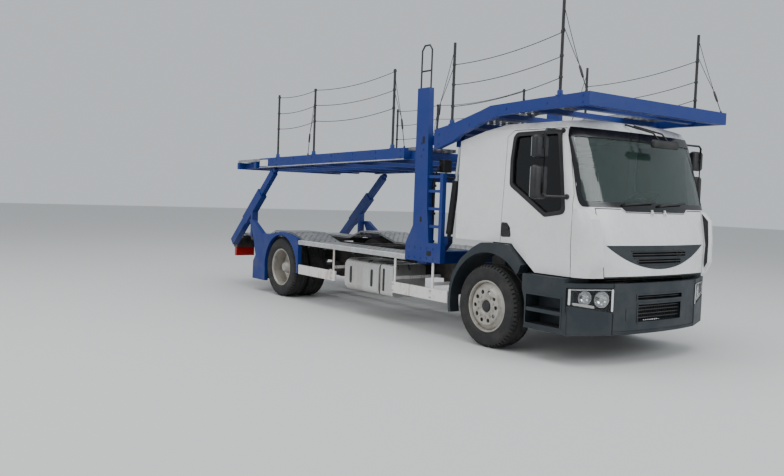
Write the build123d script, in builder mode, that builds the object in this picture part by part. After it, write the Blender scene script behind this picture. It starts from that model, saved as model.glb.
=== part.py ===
from build123d import *
import os
from math import cos, hypot, radians, sin, sqrt, tan

# Car transporter truck: rigid two-axle chassis, short cab, two upper decks and a lower deck.
# Millimetres. +X forward, +Y to the truck's left, +Z up, ground at Z = 0, origin under the middle.

# Overall
wheelbase = 4850
front_overhang = 1470
rear_overhang = 2050
side_y = 1240
overall_length = front_overhang + wheelbase + rear_overhang
front_axle_x = overall_length / 2 - front_overhang
rear_axle_x = front_axle_x - wheelbase
tail_x = rear_axle_x - rear_overhang

# Clearances
seat_gap = 0.3
run_gap = 5
pin_gap = 0.5

# Wheels
tyre_radius = 476
front_tyre_width = 315
rear_tyre_width = 290
twin_gap = 40
wheel_face_y = 1237
rim_radius = 298
rim_seat_radius = 286
rim_wall = 12
hub_radius = 88
hub_bore = 34
bead_gap = 0.9
hole_count = 10
hole_radius = 25
hole_circle = 168

# Ladder frame
frame_top = 850
frame_depth = 250
frame_flange = 80
frame_web = 9
frame_half = 425
frame_bottom = frame_top - frame_depth
frame_front_x = front_axle_x + 1050
frame_rear_x = rear_axle_x - 1560

# Lower deck
outrigger_depth = 50
outrigger_width = 60
deck_skin = 30
lower_deck_z = frame_top + outrigger_depth + deck_skin
runway_inner_y = 550
runway_outer_y = side_y - 72
edge_rail_z = (885, 948)
lower_deck_front_x = front_axle_x - 1600
hump_rise = 130

# Posts and ladders
post_rear_x = front_axle_x - 1390
post_front_x = front_axle_x - 1165
post_top_z = 3075
post_wall_y = 80
post_inner_y = side_y - post_wall_y
post_foot_z = 890

# Upper decks
lug_wall = 36
pivot_radius = 25
main_pivot_x = post_rear_x - 70
main_pivot_z = 2240
main_slope = radians(1.2)
main_beam_depth = 155
main_beam_front_x = front_axle_x - 1630
main_beam_rear_x = rear_axle_x - 810
main_deck_rear_x = rear_axle_x - 1950
cab_pivot_x = post_front_x + 65
cab_pivot_z = 2420
beam_wall = 70
deck_track = (440, side_y - 160)

# Rear arms
arm_foot_x = rear_axle_x - 1910
arm_foot_z = 760
arm_angle = radians(41.4)
arm_outer_y = 1190
arm_width = 110

# Cab
cab_rear_x = front_axle_x - 647
cab_half = side_y - 82
cab_wall = 50
cab_floor_z = 1220
cab_sill_z = 930
cab_roof_z = 2620
front_plan_radius = 5700
seam_gap = 8
door_front_x = front_axle_x + 1155
glass_wall = 6


def side_plate(outline, y_low, y_high, mode=Mode.ADD):
    """A flat plate from an (x, z) outline, between two y values."""
    with BuildSketch(Plane.XZ.offset(-y_high)) as profile:
        Polygon(*outline, align=None)
    extrude(profile.sketch, amount=y_high - y_low, mode=mode)


def front_plate(outline, x_low, x_high, mode=Mode.ADD):
    """A flat plate from a (y, z) outline, between two x values."""
    with BuildSketch(Plane.YZ.offset(x_low)) as profile:
        Polygon(*outline, align=None)
    extrude(profile.sketch, amount=x_high - x_low, mode=mode)


def block(x, y, z, mode=Mode.ADD):
    """A box between two values along each axis."""
    with Locations(((x[0] + x[1]) / 2, (y[0] + y[1]) / 2, (z[0] + z[1]) / 2)):
        Box(x[1] - x[0], y[1] - y[0], z[1] - z[0], mode=mode)


def cross_rod(x, z, radius, y_low, y_high, mode=Mode.ADD):
    """A round bar or hole along Y."""
    with BuildSketch(Plane.XZ.offset(-y_high)) as profile:
        with Locations((x, z)):
            Circle(radius)
    extrude(profile.sketch, amount=y_high - y_low, mode=mode)


def round_bar(start, end, radius, mode=Mode.ADD):
    """A round bar or hole from one point to another."""
    direction = Vector(*end) - Vector(*start)
    with BuildSketch(Plane(origin=start, z_dir=direction)) as profile:
        Circle(radius)
    extrude(profile.sketch, amount=direction.length, mode=mode)


def save(part, label):
    part.label = label
    export_step(part, f"parts/{label}.step")


os.makedirs("parts", exist_ok=True)

# Chassis frame: two channel rails, cross members, outriggers under the lower deck, tank brackets
cross_member_x = [front_axle_x + 900, front_axle_x - 1850, front_axle_x - 2500, rear_axle_x + 1350,
                  rear_axle_x + 600, rear_axle_x - 600, rear_axle_x - 1400]
outrigger_x = [lower_deck_front_x - 120, front_axle_x - 2150, front_axle_x - 2850, rear_axle_x + 1250,
               rear_axle_x + 780, rear_axle_x - 720, rear_axle_x - 1150, rear_axle_x - 1520]
bracket_x = [front_axle_x - 2830, front_axle_x - 2190]
bracket_z = (420, 640)
tank_inner_y = 620
cab_mounts = [(front_axle_x + 950, 930), (front_axle_x - 560, 1220)]
with BuildPart() as chassis_frame:
    with BuildSketch(Plane.YZ.offset(frame_rear_x)) as channel:
        with Locations((frame_half - frame_flange / 2, frame_top - frame_depth / 2)):
            Rectangle(frame_flange, frame_depth)
        with Locations((frame_half - frame_web - frame_flange / 2, frame_top - frame_depth / 2)):
            Rectangle(frame_flange, frame_depth - 2 * frame_web, mode=Mode.SUBTRACT)
    extrude(amount=frame_front_x - frame_rear_x)
    mirror(about=Plane.XZ)
    for x in cross_member_x:
        block((x - 40, x + 40), (-frame_half + frame_web / 2, frame_half - frame_web / 2),
              (frame_bottom + 75, frame_top - 50))
    for x in outrigger_x:
        block((x - outrigger_width / 2, x + outrigger_width / 2), (-runway_outer_y, runway_outer_y),
              (frame_top, frame_top + outrigger_depth))
    for x in bracket_x:
        for side in (-1, 1):
            front_plate([(side * (frame_half - 5), bracket_z[1]), (side * (frame_half - 5), frame_top - 30),
                         (side * (frame_half + 20), frame_top - 30),
                         (side * tank_inner_y, bracket_z[1]), (side * tank_inner_y, bracket_z[0]),
                         (side * (tank_inner_y - 30), bracket_z[0])], x - 20, x + 20)
    for x, z_high in cab_mounts:
        for side in (-1, 1):
            block((x - 35, x + 35), (side * (frame_half - 40) - 30, side * (frame_half - 40) + 30),
                  (frame_top - 5, z_high - seat_gap))
save(chassis_frame.part, "chassis_frame")

# Driveline: engine block, gearbox and propeller shaft along the middle
engine_x = (front_axle_x - 850, front_axle_x + 300)
engine_half = 330
gearbox_x = (front_axle_x - 1700, engine_x[0] + 1)
pinion_length = 260
shaft_start = (rear_axle_x, 0, tyre_radius)
shaft_end = (gearbox_x[0], 0, 600)
shaft_length = hypot(shaft_end[0] - shaft_start[0], shaft_end[2] - shaft_start[2])


def shaft_point(distance):
    """A point on the propeller shaft's line, from the rear axle's middle."""
    share = distance / shaft_length
    return (shaft_start[0] + share * (shaft_end[0] - shaft_start[0]), 0,
            shaft_start[2] + share * (shaft_end[2] - shaft_start[2]))


with BuildPart() as driveline:
    block(engine_x, (-engine_half, engine_half), (530, 1160))
    block((front_axle_x - 260, front_axle_x - 140),
          (-frame_half + frame_web + seat_gap, frame_half - frame_web - seat_gap), (650, 760))
    block(gearbox_x, (-210, 210), (470, 830))
    round_bar(shaft_point(pinion_length + seat_gap), shaft_point(shaft_length + 60), 50)
save(driveline.part, "driveline")

# Front axle: forged beam with kingpin bosses, and leaf springs between it and the rails
kingpin_y = 930
kingpin_radius = 24
boss_radius = 48
boss_z = (tyre_radius - 75, tyre_radius + 75)
spring_half = 790
spring_pad_z = tyre_radius - 15
with BuildPart() as front_axle:
    front_plate([(-kingpin_y, boss_z[0] + 20), (-kingpin_y, boss_z[1] - 20), (-640, spring_pad_z),
                 (640, spring_pad_z), (kingpin_y, boss_z[1] - 20), (kingpin_y, boss_z[0] + 20),
                 (640, spring_pad_z - 110), (-640, spring_pad_z - 110)],
                front_axle_x - 45, front_axle_x + 45)
    for side in (-1, 1):
        round_bar((front_axle_x, side * kingpin_y, boss_z[0]), (front_axle_x, side * kingpin_y, boss_z[1]),
                  boss_radius)
        round_bar((front_axle_x, side * kingpin_y, boss_z[0]), (front_axle_x, side * kingpin_y, boss_z[1]),
                  kingpin_radius + pin_gap, mode=Mode.SUBTRACT)
        for half in (spring_half, spring_half * 0.6):
            rise = 45 if half == spring_half else 0
            low = spring_pad_z + seat_gap + (0 if half < spring_half else 22)
            side_plate([(front_axle_x - half, low + rise), (front_axle_x - half * 0.4, low),
                        (front_axle_x + half * 0.4, low), (front_axle_x + half, low + rise),
                        (front_axle_x + half, low + rise + 20), (front_axle_x + half * 0.4, low + 22),
                        (front_axle_x - half * 0.4, low + 22), (front_axle_x - half, low + rise + 20)],
                       side * (frame_half - 40) - 40, side * (frame_half - 40) + 40)
        for end in (-1, 1):
            block((front_axle_x + end * spring_half - 40, front_axle_x + end * spring_half + 40),
                  (side * (frame_half - 40) - 40, side * (frame_half - 40) + 40),
                  (spring_pad_z + 60, frame_bottom - seat_gap))
save(front_axle.part, "front_axle")

# Rear axle: banjo housing with hub ends, trailing springs and air bellows under the rails
twin_plane = rear_tyre_width + twin_gap / 2
rear_stub_y = wheel_face_y - twin_plane - 45
rear_tube_radius = 62
bellows_dx = 420
with BuildPart() as rear_axle:
    cross_rod(rear_axle_x, tyre_radius, rear_tube_radius, -rear_stub_y, rear_stub_y)
    with Locations((rear_axle_x, 0, tyre_radius)):
        Sphere(190)
    round_bar(shaft_start, shaft_point(pinion_length), 80)
    for side in (-1, 1):
        y = side * (frame_half - 45)
        block((rear_axle_x - bellows_dx - 60, rear_axle_x + bellows_dx + 60), (y - 45, y + 45),
              (tyre_radius - 110, tyre_radius - 62))
        block((rear_axle_x - 70, rear_axle_x + 70), (y - 60, y + 60), (tyre_radius - 80, tyre_radius + 20))
        for dx in (-bellows_dx, bellows_dx):
            round_bar((rear_axle_x + dx, y, tyre_radius - 63), (rear_axle_x + dx, y, frame_bottom - seat_gap), 100)
save(rear_axle.part, "rear_axle")

# Fuel tank and small tank on the right, battery box and silencer on the left
tank_x = (front_axle_x - 2930, front_axle_x - 2110)
tank_z = (340, 790)
with BuildPart() as fuel_tanks:
    with BuildSketch(Plane.YZ.offset(tank_x[0])):
        with Locations((-(tank_inner_y + seat_gap + side_y) / 2 + 1.5, sum(tank_z) / 2)):
            RectangleRounded(side_y - tank_inner_y - seat_gap - 3, tank_z[1] - tank_z[0], 110)
    extrude(amount=tank_x[1] - tank_x[0])
    with BuildSketch(Plane.YZ.offset(tank_x[1] + 12)):
        with Locations((-(tank_inner_y + side_y) / 2, sum(tank_z) / 2)):
            RectangleRounded(side_y - tank_inner_y - 60, tank_z[1] - tank_z[0] - 10, 60)
    extrude(amount=285)
    block((tank_x[1] - 30, tank_x[1] + 40), (-side_y + 60, -tank_inner_y - 80), (400, 700))
save(fuel_tanks.part, "fuel_tanks")

with BuildPart() as chassis_boxes:
    block((front_axle_x - 2900, front_axle_x - 2120), (tank_inner_y + seat_gap, side_y - 10), (370, 770))
    with BuildSketch(Plane.YZ.offset(front_axle_x - 2118)):
        with Locations((910, 590)):
            RectangleRounded(560, 420, 120)
    extrude(amount=310)
    block((front_axle_x - 2120, front_axle_x - 2115), (700, 1100), (450, 700))
save(chassis_boxes.part, "chassis_boxes")

# Lower deck: two runways bent up over the rear wheels, and bright edge rails
hump_x = (rear_axle_x - 650, rear_axle_x - 300, rear_axle_x + 250, rear_axle_x + 730)
lower_deck_rear_x = tail_x + 150
deck_line = [(lower_deck_rear_x, 0), (hump_x[0], 0), (hump_x[1], hump_rise), (hump_x[2], hump_rise),
             (hump_x[3], 0), (lower_deck_front_x, 0)]
with BuildPart() as lower_deck:
    top = [(x, lower_deck_z + rise) for x, rise in deck_line]
    bottom = [(x, z - deck_skin + seat_gap) for x, z in reversed(top)]
    side_plate(top + bottom, runway_inner_y, runway_outer_y)
    block((tail_x, rear_axle_x - 900), (arm_outer_y - arm_width - 5, side_y), (0, 1500), mode=Mode.SUBTRACT)
    mirror(about=Plane.XZ)
save(lower_deck.part, "lower_deck")

mudguard_front_x = rear_axle_x + 570
mudguard_rear_x = rear_axle_x - 970
rail_spans = [(mudguard_front_x + run_gap, post_rear_x - 150)]
guard_strip_x = [front_axle_x - 3280, front_axle_x - 1775, front_axle_x - 995]
plank_z = (425, 568)
plank_wall = 28
planks = [(mudguard_front_x + 30, front_axle_x - 3190), (front_axle_x - 1790, front_axle_x - 670)]
with BuildPart() as side_guards:
    for x in rail_spans:
        block(x, (runway_outer_y + seat_gap, side_y), edge_rail_z)
    for x in planks:
        block(x, (side_y - plank_wall, side_y), plank_z)
    for x in guard_strip_x:
        block((x - 20, x + 20), (side_y - plank_wall - 10, side_y - plank_wall), (plank_z[0] + 10, edge_rail_z[0]))
        block((x - 20, x + 20), (frame_half + seat_gap, side_y - plank_wall), (600, 640))
    mirror(about=Plane.XZ)
save(side_guards.part, "side_guards")

# Lift cylinders of the over-cab deck: where they stand and where they push
lift_y = 1000
lift_foot = (front_axle_x - 960, 1180)
lift_eye = (front_axle_x - 800, 2370)
lift_split = 0.62
lift_pin = 18
eye_play = 3

# Deck posts: tapered box posts with a flared foot, a ladder on each, a portal beam and pivot lugs
foot_front_x = front_axle_x - 830
ladder_x = (front_axle_x - 885, front_axle_x - 830)
ladder_top_z = 2000
rung_z = [1340, 1560, 1780, 1960]
lug_y = (post_inner_y - lug_wall, post_inner_y)
with BuildPart() as deck_posts:
    side_plate([(post_rear_x - 140, post_foot_z), (post_rear_x - 140, 1100), (post_rear_x, 1340),
                (post_rear_x, post_top_z), (post_front_x, post_top_z), (post_front_x + 45, 1600),
                (post_front_x + 100, 1130), (foot_front_x, 1130), (foot_front_x, post_foot_z)],
               post_inner_y, side_y)
    block(ladder_x, (side_y - 60, side_y), (1120, ladder_top_z))
    for z in rung_z:
        block((post_front_x - 20, ladder_x[0] + 10), (side_y - 50, side_y - 15), (z - 18, z + 18))
    block((post_rear_x + 20, post_front_x - 20), (0, post_inner_y), (frame_top + seat_gap, 1010))
    block((post_rear_x + 50, post_front_x - 50), (0, post_inner_y), (1900, 2020))
    for pivot_x, pivot_z, root_x in ((main_pivot_x, main_pivot_z, post_rear_x + 60),
                                     (cab_pivot_x, cab_pivot_z, post_front_x - 60)):
        block((min(pivot_x, root_x), max(pivot_x, root_x)), lug_y, (pivot_z - 60, pivot_z + 60))
        cross_rod(pivot_x, pivot_z, 60, *lug_y)
        cross_rod(pivot_x, pivot_z, pivot_radius + pin_gap, *lug_y, mode=Mode.SUBTRACT)
    for y in (lift_y - 40, lift_y + 28):
        side_plate([(post_rear_x + 100, 960), (lift_foot[0] - 35, 1220), (lift_foot[0] + 35, 1220),
                    (lift_foot[0] + 35, 1140), (post_front_x - 25, 870)], y, y + 12)
    cross_rod(*lift_foot, lift_pin, lift_y - 40, lift_y + 40)
    mirror(about=Plane.XZ)
save(deck_posts.part, "deck_posts")

# Thin hoop with one rung on top of the right post
hoop_x = (post_rear_x + 15, post_front_x - 15)
hoop_top_z = 3610
hoop_radius = 11
with BuildPart() as post_hoop:
    hoop_y = -(post_inner_y + side_y) / 2
    for x in hoop_x:
        round_bar((x, hoop_y, post_top_z + seat_gap), (x, hoop_y, hoop_top_z - 60), hoop_radius)
    round_bar((hoop_x[0], hoop_y, hoop_top_z - 60), (hoop_x[0] + 50, hoop_y, hoop_top_z), hoop_radius)
    round_bar((hoop_x[1], hoop_y, hoop_top_z - 60), (hoop_x[1] - 50, hoop_y, hoop_top_z), hoop_radius)
    round_bar((hoop_x[0] + 45, hoop_y, hoop_top_z), (hoop_x[1] - 45, hoop_y, hoop_top_z), hoop_radius)
    round_bar((hoop_x[0], hoop_y, 3290), (hoop_x[1], hoop_y, 3290), hoop_radius)
save(post_hoop.part, "post_hoop")


# Main upper deck's own line, tilted a little down to the rear
beam_low, beam_high = -55, -55 + main_beam_depth


def deck_z(x):
    """Height of the main deck's reference line through its pivot."""
    return main_pivot_z + (x - main_pivot_x) * tan(main_slope)


def deck_band(x_rear, x_front, low, high):
    """An (x, z) outline that follows the main deck's slope."""
    return [(x_rear, deck_z(x_rear) + low), (x_front, deck_z(x_front) + low),
            (x_front, deck_z(x_front) + high), (x_rear, deck_z(x_rear) + high)]


# Rear supports: wheel-side plates, horns and arm sleeves; telescopic arms slide in the sleeves
arm_direction = (cos(arm_angle), sin(arm_angle))
roller_radius = 42


def arm_point(along, across):
    """A point in the arm's own directions: up along it from its foot, and across it, upwards."""
    return (arm_foot_x + along * cos(arm_angle) - across * sin(arm_angle),
            arm_foot_z + along * sin(arm_angle) + across * cos(arm_angle))


def arm_bar(start, end, half_depth):
    """The (x, z) outline of a straight bar on the arm's line."""
    return [arm_point(start, -half_depth), arm_point(end, -half_depth),
            arm_point(end, half_depth), arm_point(start, half_depth)]


# The arm is as long as it takes for its roller to run under the main deck
roller_clear = 6
roller_rise = deck_z(arm_foot_x) + beam_low - (roller_radius + roller_clear) / cos(main_slope) - arm_foot_z
arm_length = roller_rise / (arm_direction[1] - arm_direction[0] * tan(main_slope))
arm_tip = arm_point(arm_length, 0)

arch_radius_rear = 525
mudguard_wall = 66
mudguard_top_z = 1050
sleeve_span = (620, 1380)
sleeve_half = 88
arm_half = 58
slide_gap = 0.5
arm_y = (arm_outer_y - arm_width, arm_outer_y)
with BuildPart() as rear_supports:
    side_plate([(mudguard_front_x, 430), (mudguard_front_x, 900), (mudguard_front_x - 80, 980),
                (rear_axle_x + 240, mudguard_top_z - 15), (rear_axle_x, mudguard_top_z),
                (rear_axle_x - 420, 985), (rear_axle_x - 620, 985), (rear_axle_x - 990, 1200),
                (rear_axle_x - 1130, 1200), (rear_axle_x - 1010, 1000), (rear_axle_x - 930, 800),
                (rear_axle_x - 870, 600), (rear_axle_x - 950, 500), (rear_axle_x - 960, 200),
                (rear_axle_x - 520, 200), (rear_axle_x - 520, 430)],
               side_y - mudguard_wall, side_y)
    cross_rod(rear_axle_x, tyre_radius, arch_radius_rear, side_y - mudguard_wall, side_y, mode=Mode.SUBTRACT)
    side_plate(arm_bar(0, sleeve_span[0] + 20, 66), *arm_y)
    side_plate(arm_bar(*sleeve_span, sleeve_half), *arm_y)
    side_plate(arm_bar(sleeve_span[0] + 40, sleeve_span[1] + 10, arm_half + slide_gap),
               arm_y[0] + 12, arm_y[1] - 12, mode=Mode.SUBTRACT)
    side_plate([(rear_axle_x - 1180, lower_deck_z - deck_skin + seat_gap), (rear_axle_x - 1180, 1297),
                (rear_axle_x - 1120, 1350), (rear_axle_x - 1120, lower_deck_z - deck_skin + seat_gap)], *arm_y)
    mirror(about=Plane.XZ)
save(rear_supports.part, "rear_supports")

with BuildPart() as deck_arms:
    side_plate(arm_bar(sleeve_span[0] + 60, arm_length - 30, arm_half), arm_y[0] + 12 + slide_gap,
               arm_y[1] - 12 - slide_gap)
    cross_rod(*arm_point(arm_length, 0), roller_radius, arm_y[0] + 20, arm_y[1] - 20)
    mirror(about=Plane.XZ)
save(deck_arms.part, "deck_arms")

# Tail frame: rear beam that carries the arms' feet, drop hitch with a coupling jaw, and lamps
tail_beam_x = (tail_x, tail_x + 150 - seat_gap)
jaw_bore = 20
hitch_x = (rear_axle_x - 1550, rear_axle_x - 1200)
hitch_z = (360, 500)
jaw_x = hitch_x[0] - 180
jaw_plate_z = ((372, 402), (458, 488))
lamp_y = (700, 1060)
with BuildPart() as tail_frame:
    block(tail_beam_x, (-arm_y[0] + seat_gap, arm_y[0] - seat_gap), (arm_foot_z - 100, arm_foot_z + 90))
    for side in (-1, 1):
        block((tail_beam_x[1] - 10, frame_rear_x - seat_gap), (side * 385 - 40, side * 385 + 40),
              (arm_foot_z - 100, frame_top))
        side_plate([(hitch_x[0], hitch_z[0]), (hitch_x[1], hitch_z[0]), (hitch_x[1] + 200, frame_bottom - seat_gap),
                    (frame_rear_x - seat_gap, frame_bottom - seat_gap), (frame_rear_x - seat_gap, 700),
                    (hitch_x[0] - 80, 700), (hitch_x[0] - 80, 520)], side * 385 - 10, side * 385 + 10)
    block((hitch_x[0], hitch_x[0] + 90), (-390, 390), hitch_z)
    for z in jaw_plate_z:
        block((jaw_x - 60, hitch_x[0] + 10), (-90, 90), z)
    with BuildSketch(Plane.XY.offset(jaw_plate_z[0][0] - 5)):
        with Locations((jaw_x, 0)):
            Circle(jaw_bore)
    extrude(amount=140, mode=Mode.SUBTRACT)
save(tail_frame.part, "tail_frame")

with BuildPart() as tail_lamps:
    block((tail_x + 10, tail_x + 80), lamp_y, (500, arm_foot_z - 100 - seat_gap))
    mirror(about=Plane.XZ)
save(tail_lamps.part, "tail_lamps")

# Cab: one outer form, made of a curved front, a side outline, a front outline and a plan outline
windscreen_low_z = 1690
windscreen_high_z = 2470
front_levels = [(800, 1450), (1270, 1445), (1660, 1360), (2500, 1070), (2580, 1010), (2680, 880)]
side_outline = [(cab_rear_x, cab_floor_z), (cab_rear_x, 2390), (front_axle_x + 60, 2585),
                (front_axle_x + 500, cab_roof_z), (front_axle_x + 1100, 2600), (front_axle_x + 1600, 2500),
                (front_axle_x + 1600, cab_sill_z), (front_axle_x + 660, cab_sill_z),
                (front_axle_x + 340, cab_floor_z - 40), (front_axle_x + 300, cab_floor_z)]
front_outline = [(-cab_half, 800), (-cab_half, 1500), (-cab_half + 28, 2400), (-cab_half + 60, 2500),
                 (-cab_half + 150, 2570), (-400, cab_roof_z + 2), (400, cab_roof_z + 2),
                 (cab_half - 150, 2570), (cab_half - 60, 2500), (cab_half - 28, 2400), (cab_half, 1500),
                 (cab_half, 800)]
plan_corner_x = front_axle_x + 1207
plan_outline = [(cab_rear_x, -cab_half), (plan_corner_x, -cab_half), (front_axle_x + 1620, -609),
                (front_axle_x + 1620, 609), (plan_corner_x, cab_half), (cab_rear_x, cab_half)]
corner_round = 250
cab_forms = {}


def cab_volume(inset):
    """The closed form of the cab, with every face moved in by one distance."""
    if inset in cab_forms:
        return cab_forms[inset]
    wide = cab_half + 200
    with BuildPart() as volume:
        for z, middle in front_levels:
            half = 1300
            sagitta = front_plan_radius - sqrt(front_plan_radius ** 2 - half ** 2)
            with BuildSketch(Plane.XY.offset(z)):
                with BuildLine():
                    Polyline((front_axle_x + middle - sagitta - inset, half), (cab_rear_x - 100, half),
                             (cab_rear_x - 100, -half), (front_axle_x + middle - sagitta - inset, -half))
                    ThreePointArc((front_axle_x + middle - sagitta - inset, -half),
                                  (front_axle_x + middle - inset, 0),
                                  (front_axle_x + middle - sagitta - inset, half))
                make_face()
        loft(ruled=True)
        with BuildSketch(Plane.XZ.offset(-wide)) as side_view:
            Polygon(*side_outline, align=None)
            if inset:
                offset(amount=-inset, kind=Kind.INTERSECTION)
        extrude(amount=2 * wide, mode=Mode.INTERSECT)
        with BuildSketch(Plane.YZ.offset(cab_rear_x - 50)) as front_view:
            Polygon(*front_outline, align=None)
            if inset:
                offset(amount=-inset, kind=Kind.INTERSECTION)
        extrude(amount=2400, mode=Mode.INTERSECT)
        with BuildSketch(Plane.XY.offset(700)) as plan_view:
            Polygon(*plan_outline, align=None)
            corners = plan_view.vertices().group_by(Axis.X)[1]
            fillet(corners, corner_round)
            if inset:
                offset(amount=-inset, kind=Kind.INTERSECTION)
        extrude(amount=2200, mode=Mode.INTERSECT)
    cab_forms[inset] = volume.part
    return volume.part


door_low_z = cab_sill_z - 50
door_outline = [(front_axle_x + 215, 2490), (front_axle_x + 140, 2420), (front_axle_x + 110, 1100),
                (front_axle_x + 110, door_low_z), (door_front_x, door_low_z), (door_front_x - 5, 1110),
                (door_front_x - 25, 1810), (front_axle_x + 985, 2490)]
window_outline = [(front_axle_x + 262, 2440), (front_axle_x + 905, 2450), (front_axle_x + 1030, 1600),
                  (front_axle_x + 770, 1560), (front_axle_x + 490, 1730), (front_axle_x + 240, 1880),
                  (front_axle_x + 230, 2150)]
door_depth_y = (cab_half - 88, cab_half + 60)
flap_x = front_axle_x + 1205
flap_outline = [(-890, 900), (890, 900), (965, 1655), (600, 1655), (530, 1620), (-530, 1620), (-600, 1655),
                (-965, 1655)]
flap_panel = [(-882, 943), (882, 943), (951, 1645), (596, 1645), (526, 1611), (-526, 1611), (-596, 1645),
              (-951, 1645)]
flap_hinge_x = front_axle_x + 1378
flap_hinge_z = 1621
flap_hinge_y = (-115, 115)
flap_pin = 4
flap_corner_x = front_axle_x + 1223
flap_corner_z = 1560
flap_bevel = 14
screen_outline = [(-1090, windscreen_low_z), (1090, windscreen_low_z), (1020, windscreen_high_z),
                  (-1020, windscreen_high_z)]
firewall_x = (front_axle_x + 1150, front_axle_x + 1180)

outer_form = cab_volume(0)
inner_form = cab_volume(cab_wall)

with BuildPart() as cab_skin:
    add(outer_form)
    add(inner_form, mode=Mode.SUBTRACT)
skin = cab_skin.part


def side_panel(outline, grow, side):
    """The block of a side outline through the cab's wall, grown or shrunk all round."""
    with BuildPart() as panel:
        with BuildSketch(Plane.XZ.offset(0)) as profile:
            Polygon(*outline, align=None)
            if grow:
                offset(amount=grow, kind=Kind.INTERSECTION)
        low, high = door_depth_y[0] - grow, door_depth_y[1]
        with Locations((0, 0, 0)):
            extrude(profile.sketch.moved(Location((0, high, 0))), amount=high - low)
        if side < 0:
            mirror(about=Plane.XZ, mode=Mode.REPLACE)
    return panel.part


with BuildPart() as cab_shell:
    add(skin)
    for side in (-1, 1):
        add(side_panel(door_outline, 0, side), mode=Mode.SUBTRACT)
    front_plate(flap_outline, flap_x, front_axle_x + 1600, mode=Mode.SUBTRACT)
    front_plate(screen_outline, front_axle_x + 850, front_axle_x + 1600, mode=Mode.SUBTRACT)
    block(firewall_x, (-cab_half + cab_wall - 1, cab_half - cab_wall + 1), (cab_sill_z + cab_wall - 1, 1660))
    block((firewall_x[0], front_axle_x + 1230), (-850, 850), (1600, 1660))
    for y in flap_hinge_y:
        side_plate([(flap_hinge_x - 28, 1655), (flap_hinge_x - 28, 1626), (flap_hinge_x - 7, flap_hinge_z),
                    (flap_hinge_x + 7, flap_hinge_z), (flap_hinge_x, 1650)], y - 10, y + 10)
        cross_rod(flap_hinge_x, flap_hinge_z, 7, y - 10, y + 10)
        cross_rod(flap_hinge_x, flap_hinge_z, flap_pin + pin_gap, y - 11, y + 11, mode=Mode.SUBTRACT)
save(cab_shell.part, "cab_shell")

for name, side in (("right", -1), ("left", 1)):
    with BuildPart() as door:
        add(skin)
        add(side_panel(door_outline, -seam_gap, side), mode=Mode.INTERSECT)
        add(side_panel(window_outline, 0, side), mode=Mode.SUBTRACT)
    save(door.part, f"door_{name}")
    with BuildPart() as pane:
        add(cab_volume(cab_wall / 2))
        add(cab_volume(cab_wall / 2 + glass_wall), mode=Mode.SUBTRACT)
        add(side_panel(window_outline, -seat_gap, side), mode=Mode.INTERSECT)
    save(pane.part, f"door_glass_{name}")

with BuildPart() as windscreen:
    add(cab_volume(8))
    add(cab_volume(8 + glass_wall), mode=Mode.SUBTRACT)
    with BuildSketch(Plane.YZ.offset(front_axle_x + 860)) as opening:
        Polygon(*screen_outline, align=None)
        offset(amount=-seat_gap, kind=Kind.INTERSECTION)
    extrude(opening.sketch, amount=700, mode=Mode.INTERSECT)
save(windscreen.part, "windscreen")

# Front flap with the dark grille set into it
smile_top_z = 1270
smile_half = 880
smile_low_z = 1010
slats = [(1075, 1120, 380), (1150, 1195, 480)]
with BuildPart() as flap:
    add(skin)
    front_plate(flap_panel, flap_x + 5, flap_x + 505, mode=Mode.INTERSECT)
    block((flap_x, front_axle_x + 1322), (-cab_half, cab_half), (900, 1000), mode=Mode.SUBTRACT)
    # The top corners narrow inwards, because they swing down beside the opening's slanting edges
    corner_y = flap_panel[2][0]
    with BuildSketch(Plane.XY.offset(flap_corner_z)):
        Polygon((flap_corner_x, corner_y - flap_bevel), (flap_corner_x + cab_wall + 20, corner_y + 2),
                (flap_corner_x, corner_y + 2), align=None)
        mirror(about=Plane.XZ)
    extrude(amount=100, mode=Mode.SUBTRACT)


def smile(grow, depth_x):
    """The grille's outline as a block through the flap."""
    with BuildPart() as solid:
        with BuildSketch(Plane.YZ.offset(depth_x)):
            with BuildLine():
                Line((-smile_half, smile_top_z), (smile_half, smile_top_z))
                ThreePointArc((smile_half, smile_top_z), (0, smile_low_z), (-smile_half, smile_top_z))
            make_face()
            if grow:
                offset(amount=grow, kind=Kind.INTERSECTION)
        extrude(amount=500)
    return solid.part


with BuildPart() as front_flap:
    add(flap.part)
    add(smile(0, flap_x + 5), mode=Mode.SUBTRACT)
    for y in flap_hinge_y:
        cross_rod(flap_hinge_x, flap_hinge_z, flap_pin, y - 22, y + 22)
        for ear in (y - 22, y + 12):
            side_plate([(flap_hinge_x - 25, 1585), (flap_hinge_x - 7, flap_hinge_z), (flap_hinge_x + 7, flap_hinge_z),
                        (flap_hinge_x + 8, 1585)], ear, ear + 10)
            cross_rod(flap_hinge_x, flap_hinge_z, 7, ear, ear + 10)
save(front_flap.part, "front_flap")

with BuildPart() as front_grille:
    add(cab_volume(6))
    add(cab_volume(cab_wall - 6), mode=Mode.SUBTRACT)
    add(smile(-seat_gap, flap_x + 5), mode=Mode.INTERSECT)
    for z_low, z_high, half in slats:
        block((flap_x, front_axle_x + 1600), (-half, half), (z_low, z_high), mode=Mode.SUBTRACT)
save(front_grille.part, "front_grille")

# Bumper: wrap-round shell with air slots and lamp pockets
bumper_z = (325, 870)
bumper_rear_x = front_axle_x + 1160
bumper_wall = 60
bumper_y = side_y - 5
lamp_z = (560, 825)
lamp_inner_y = 735


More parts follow.
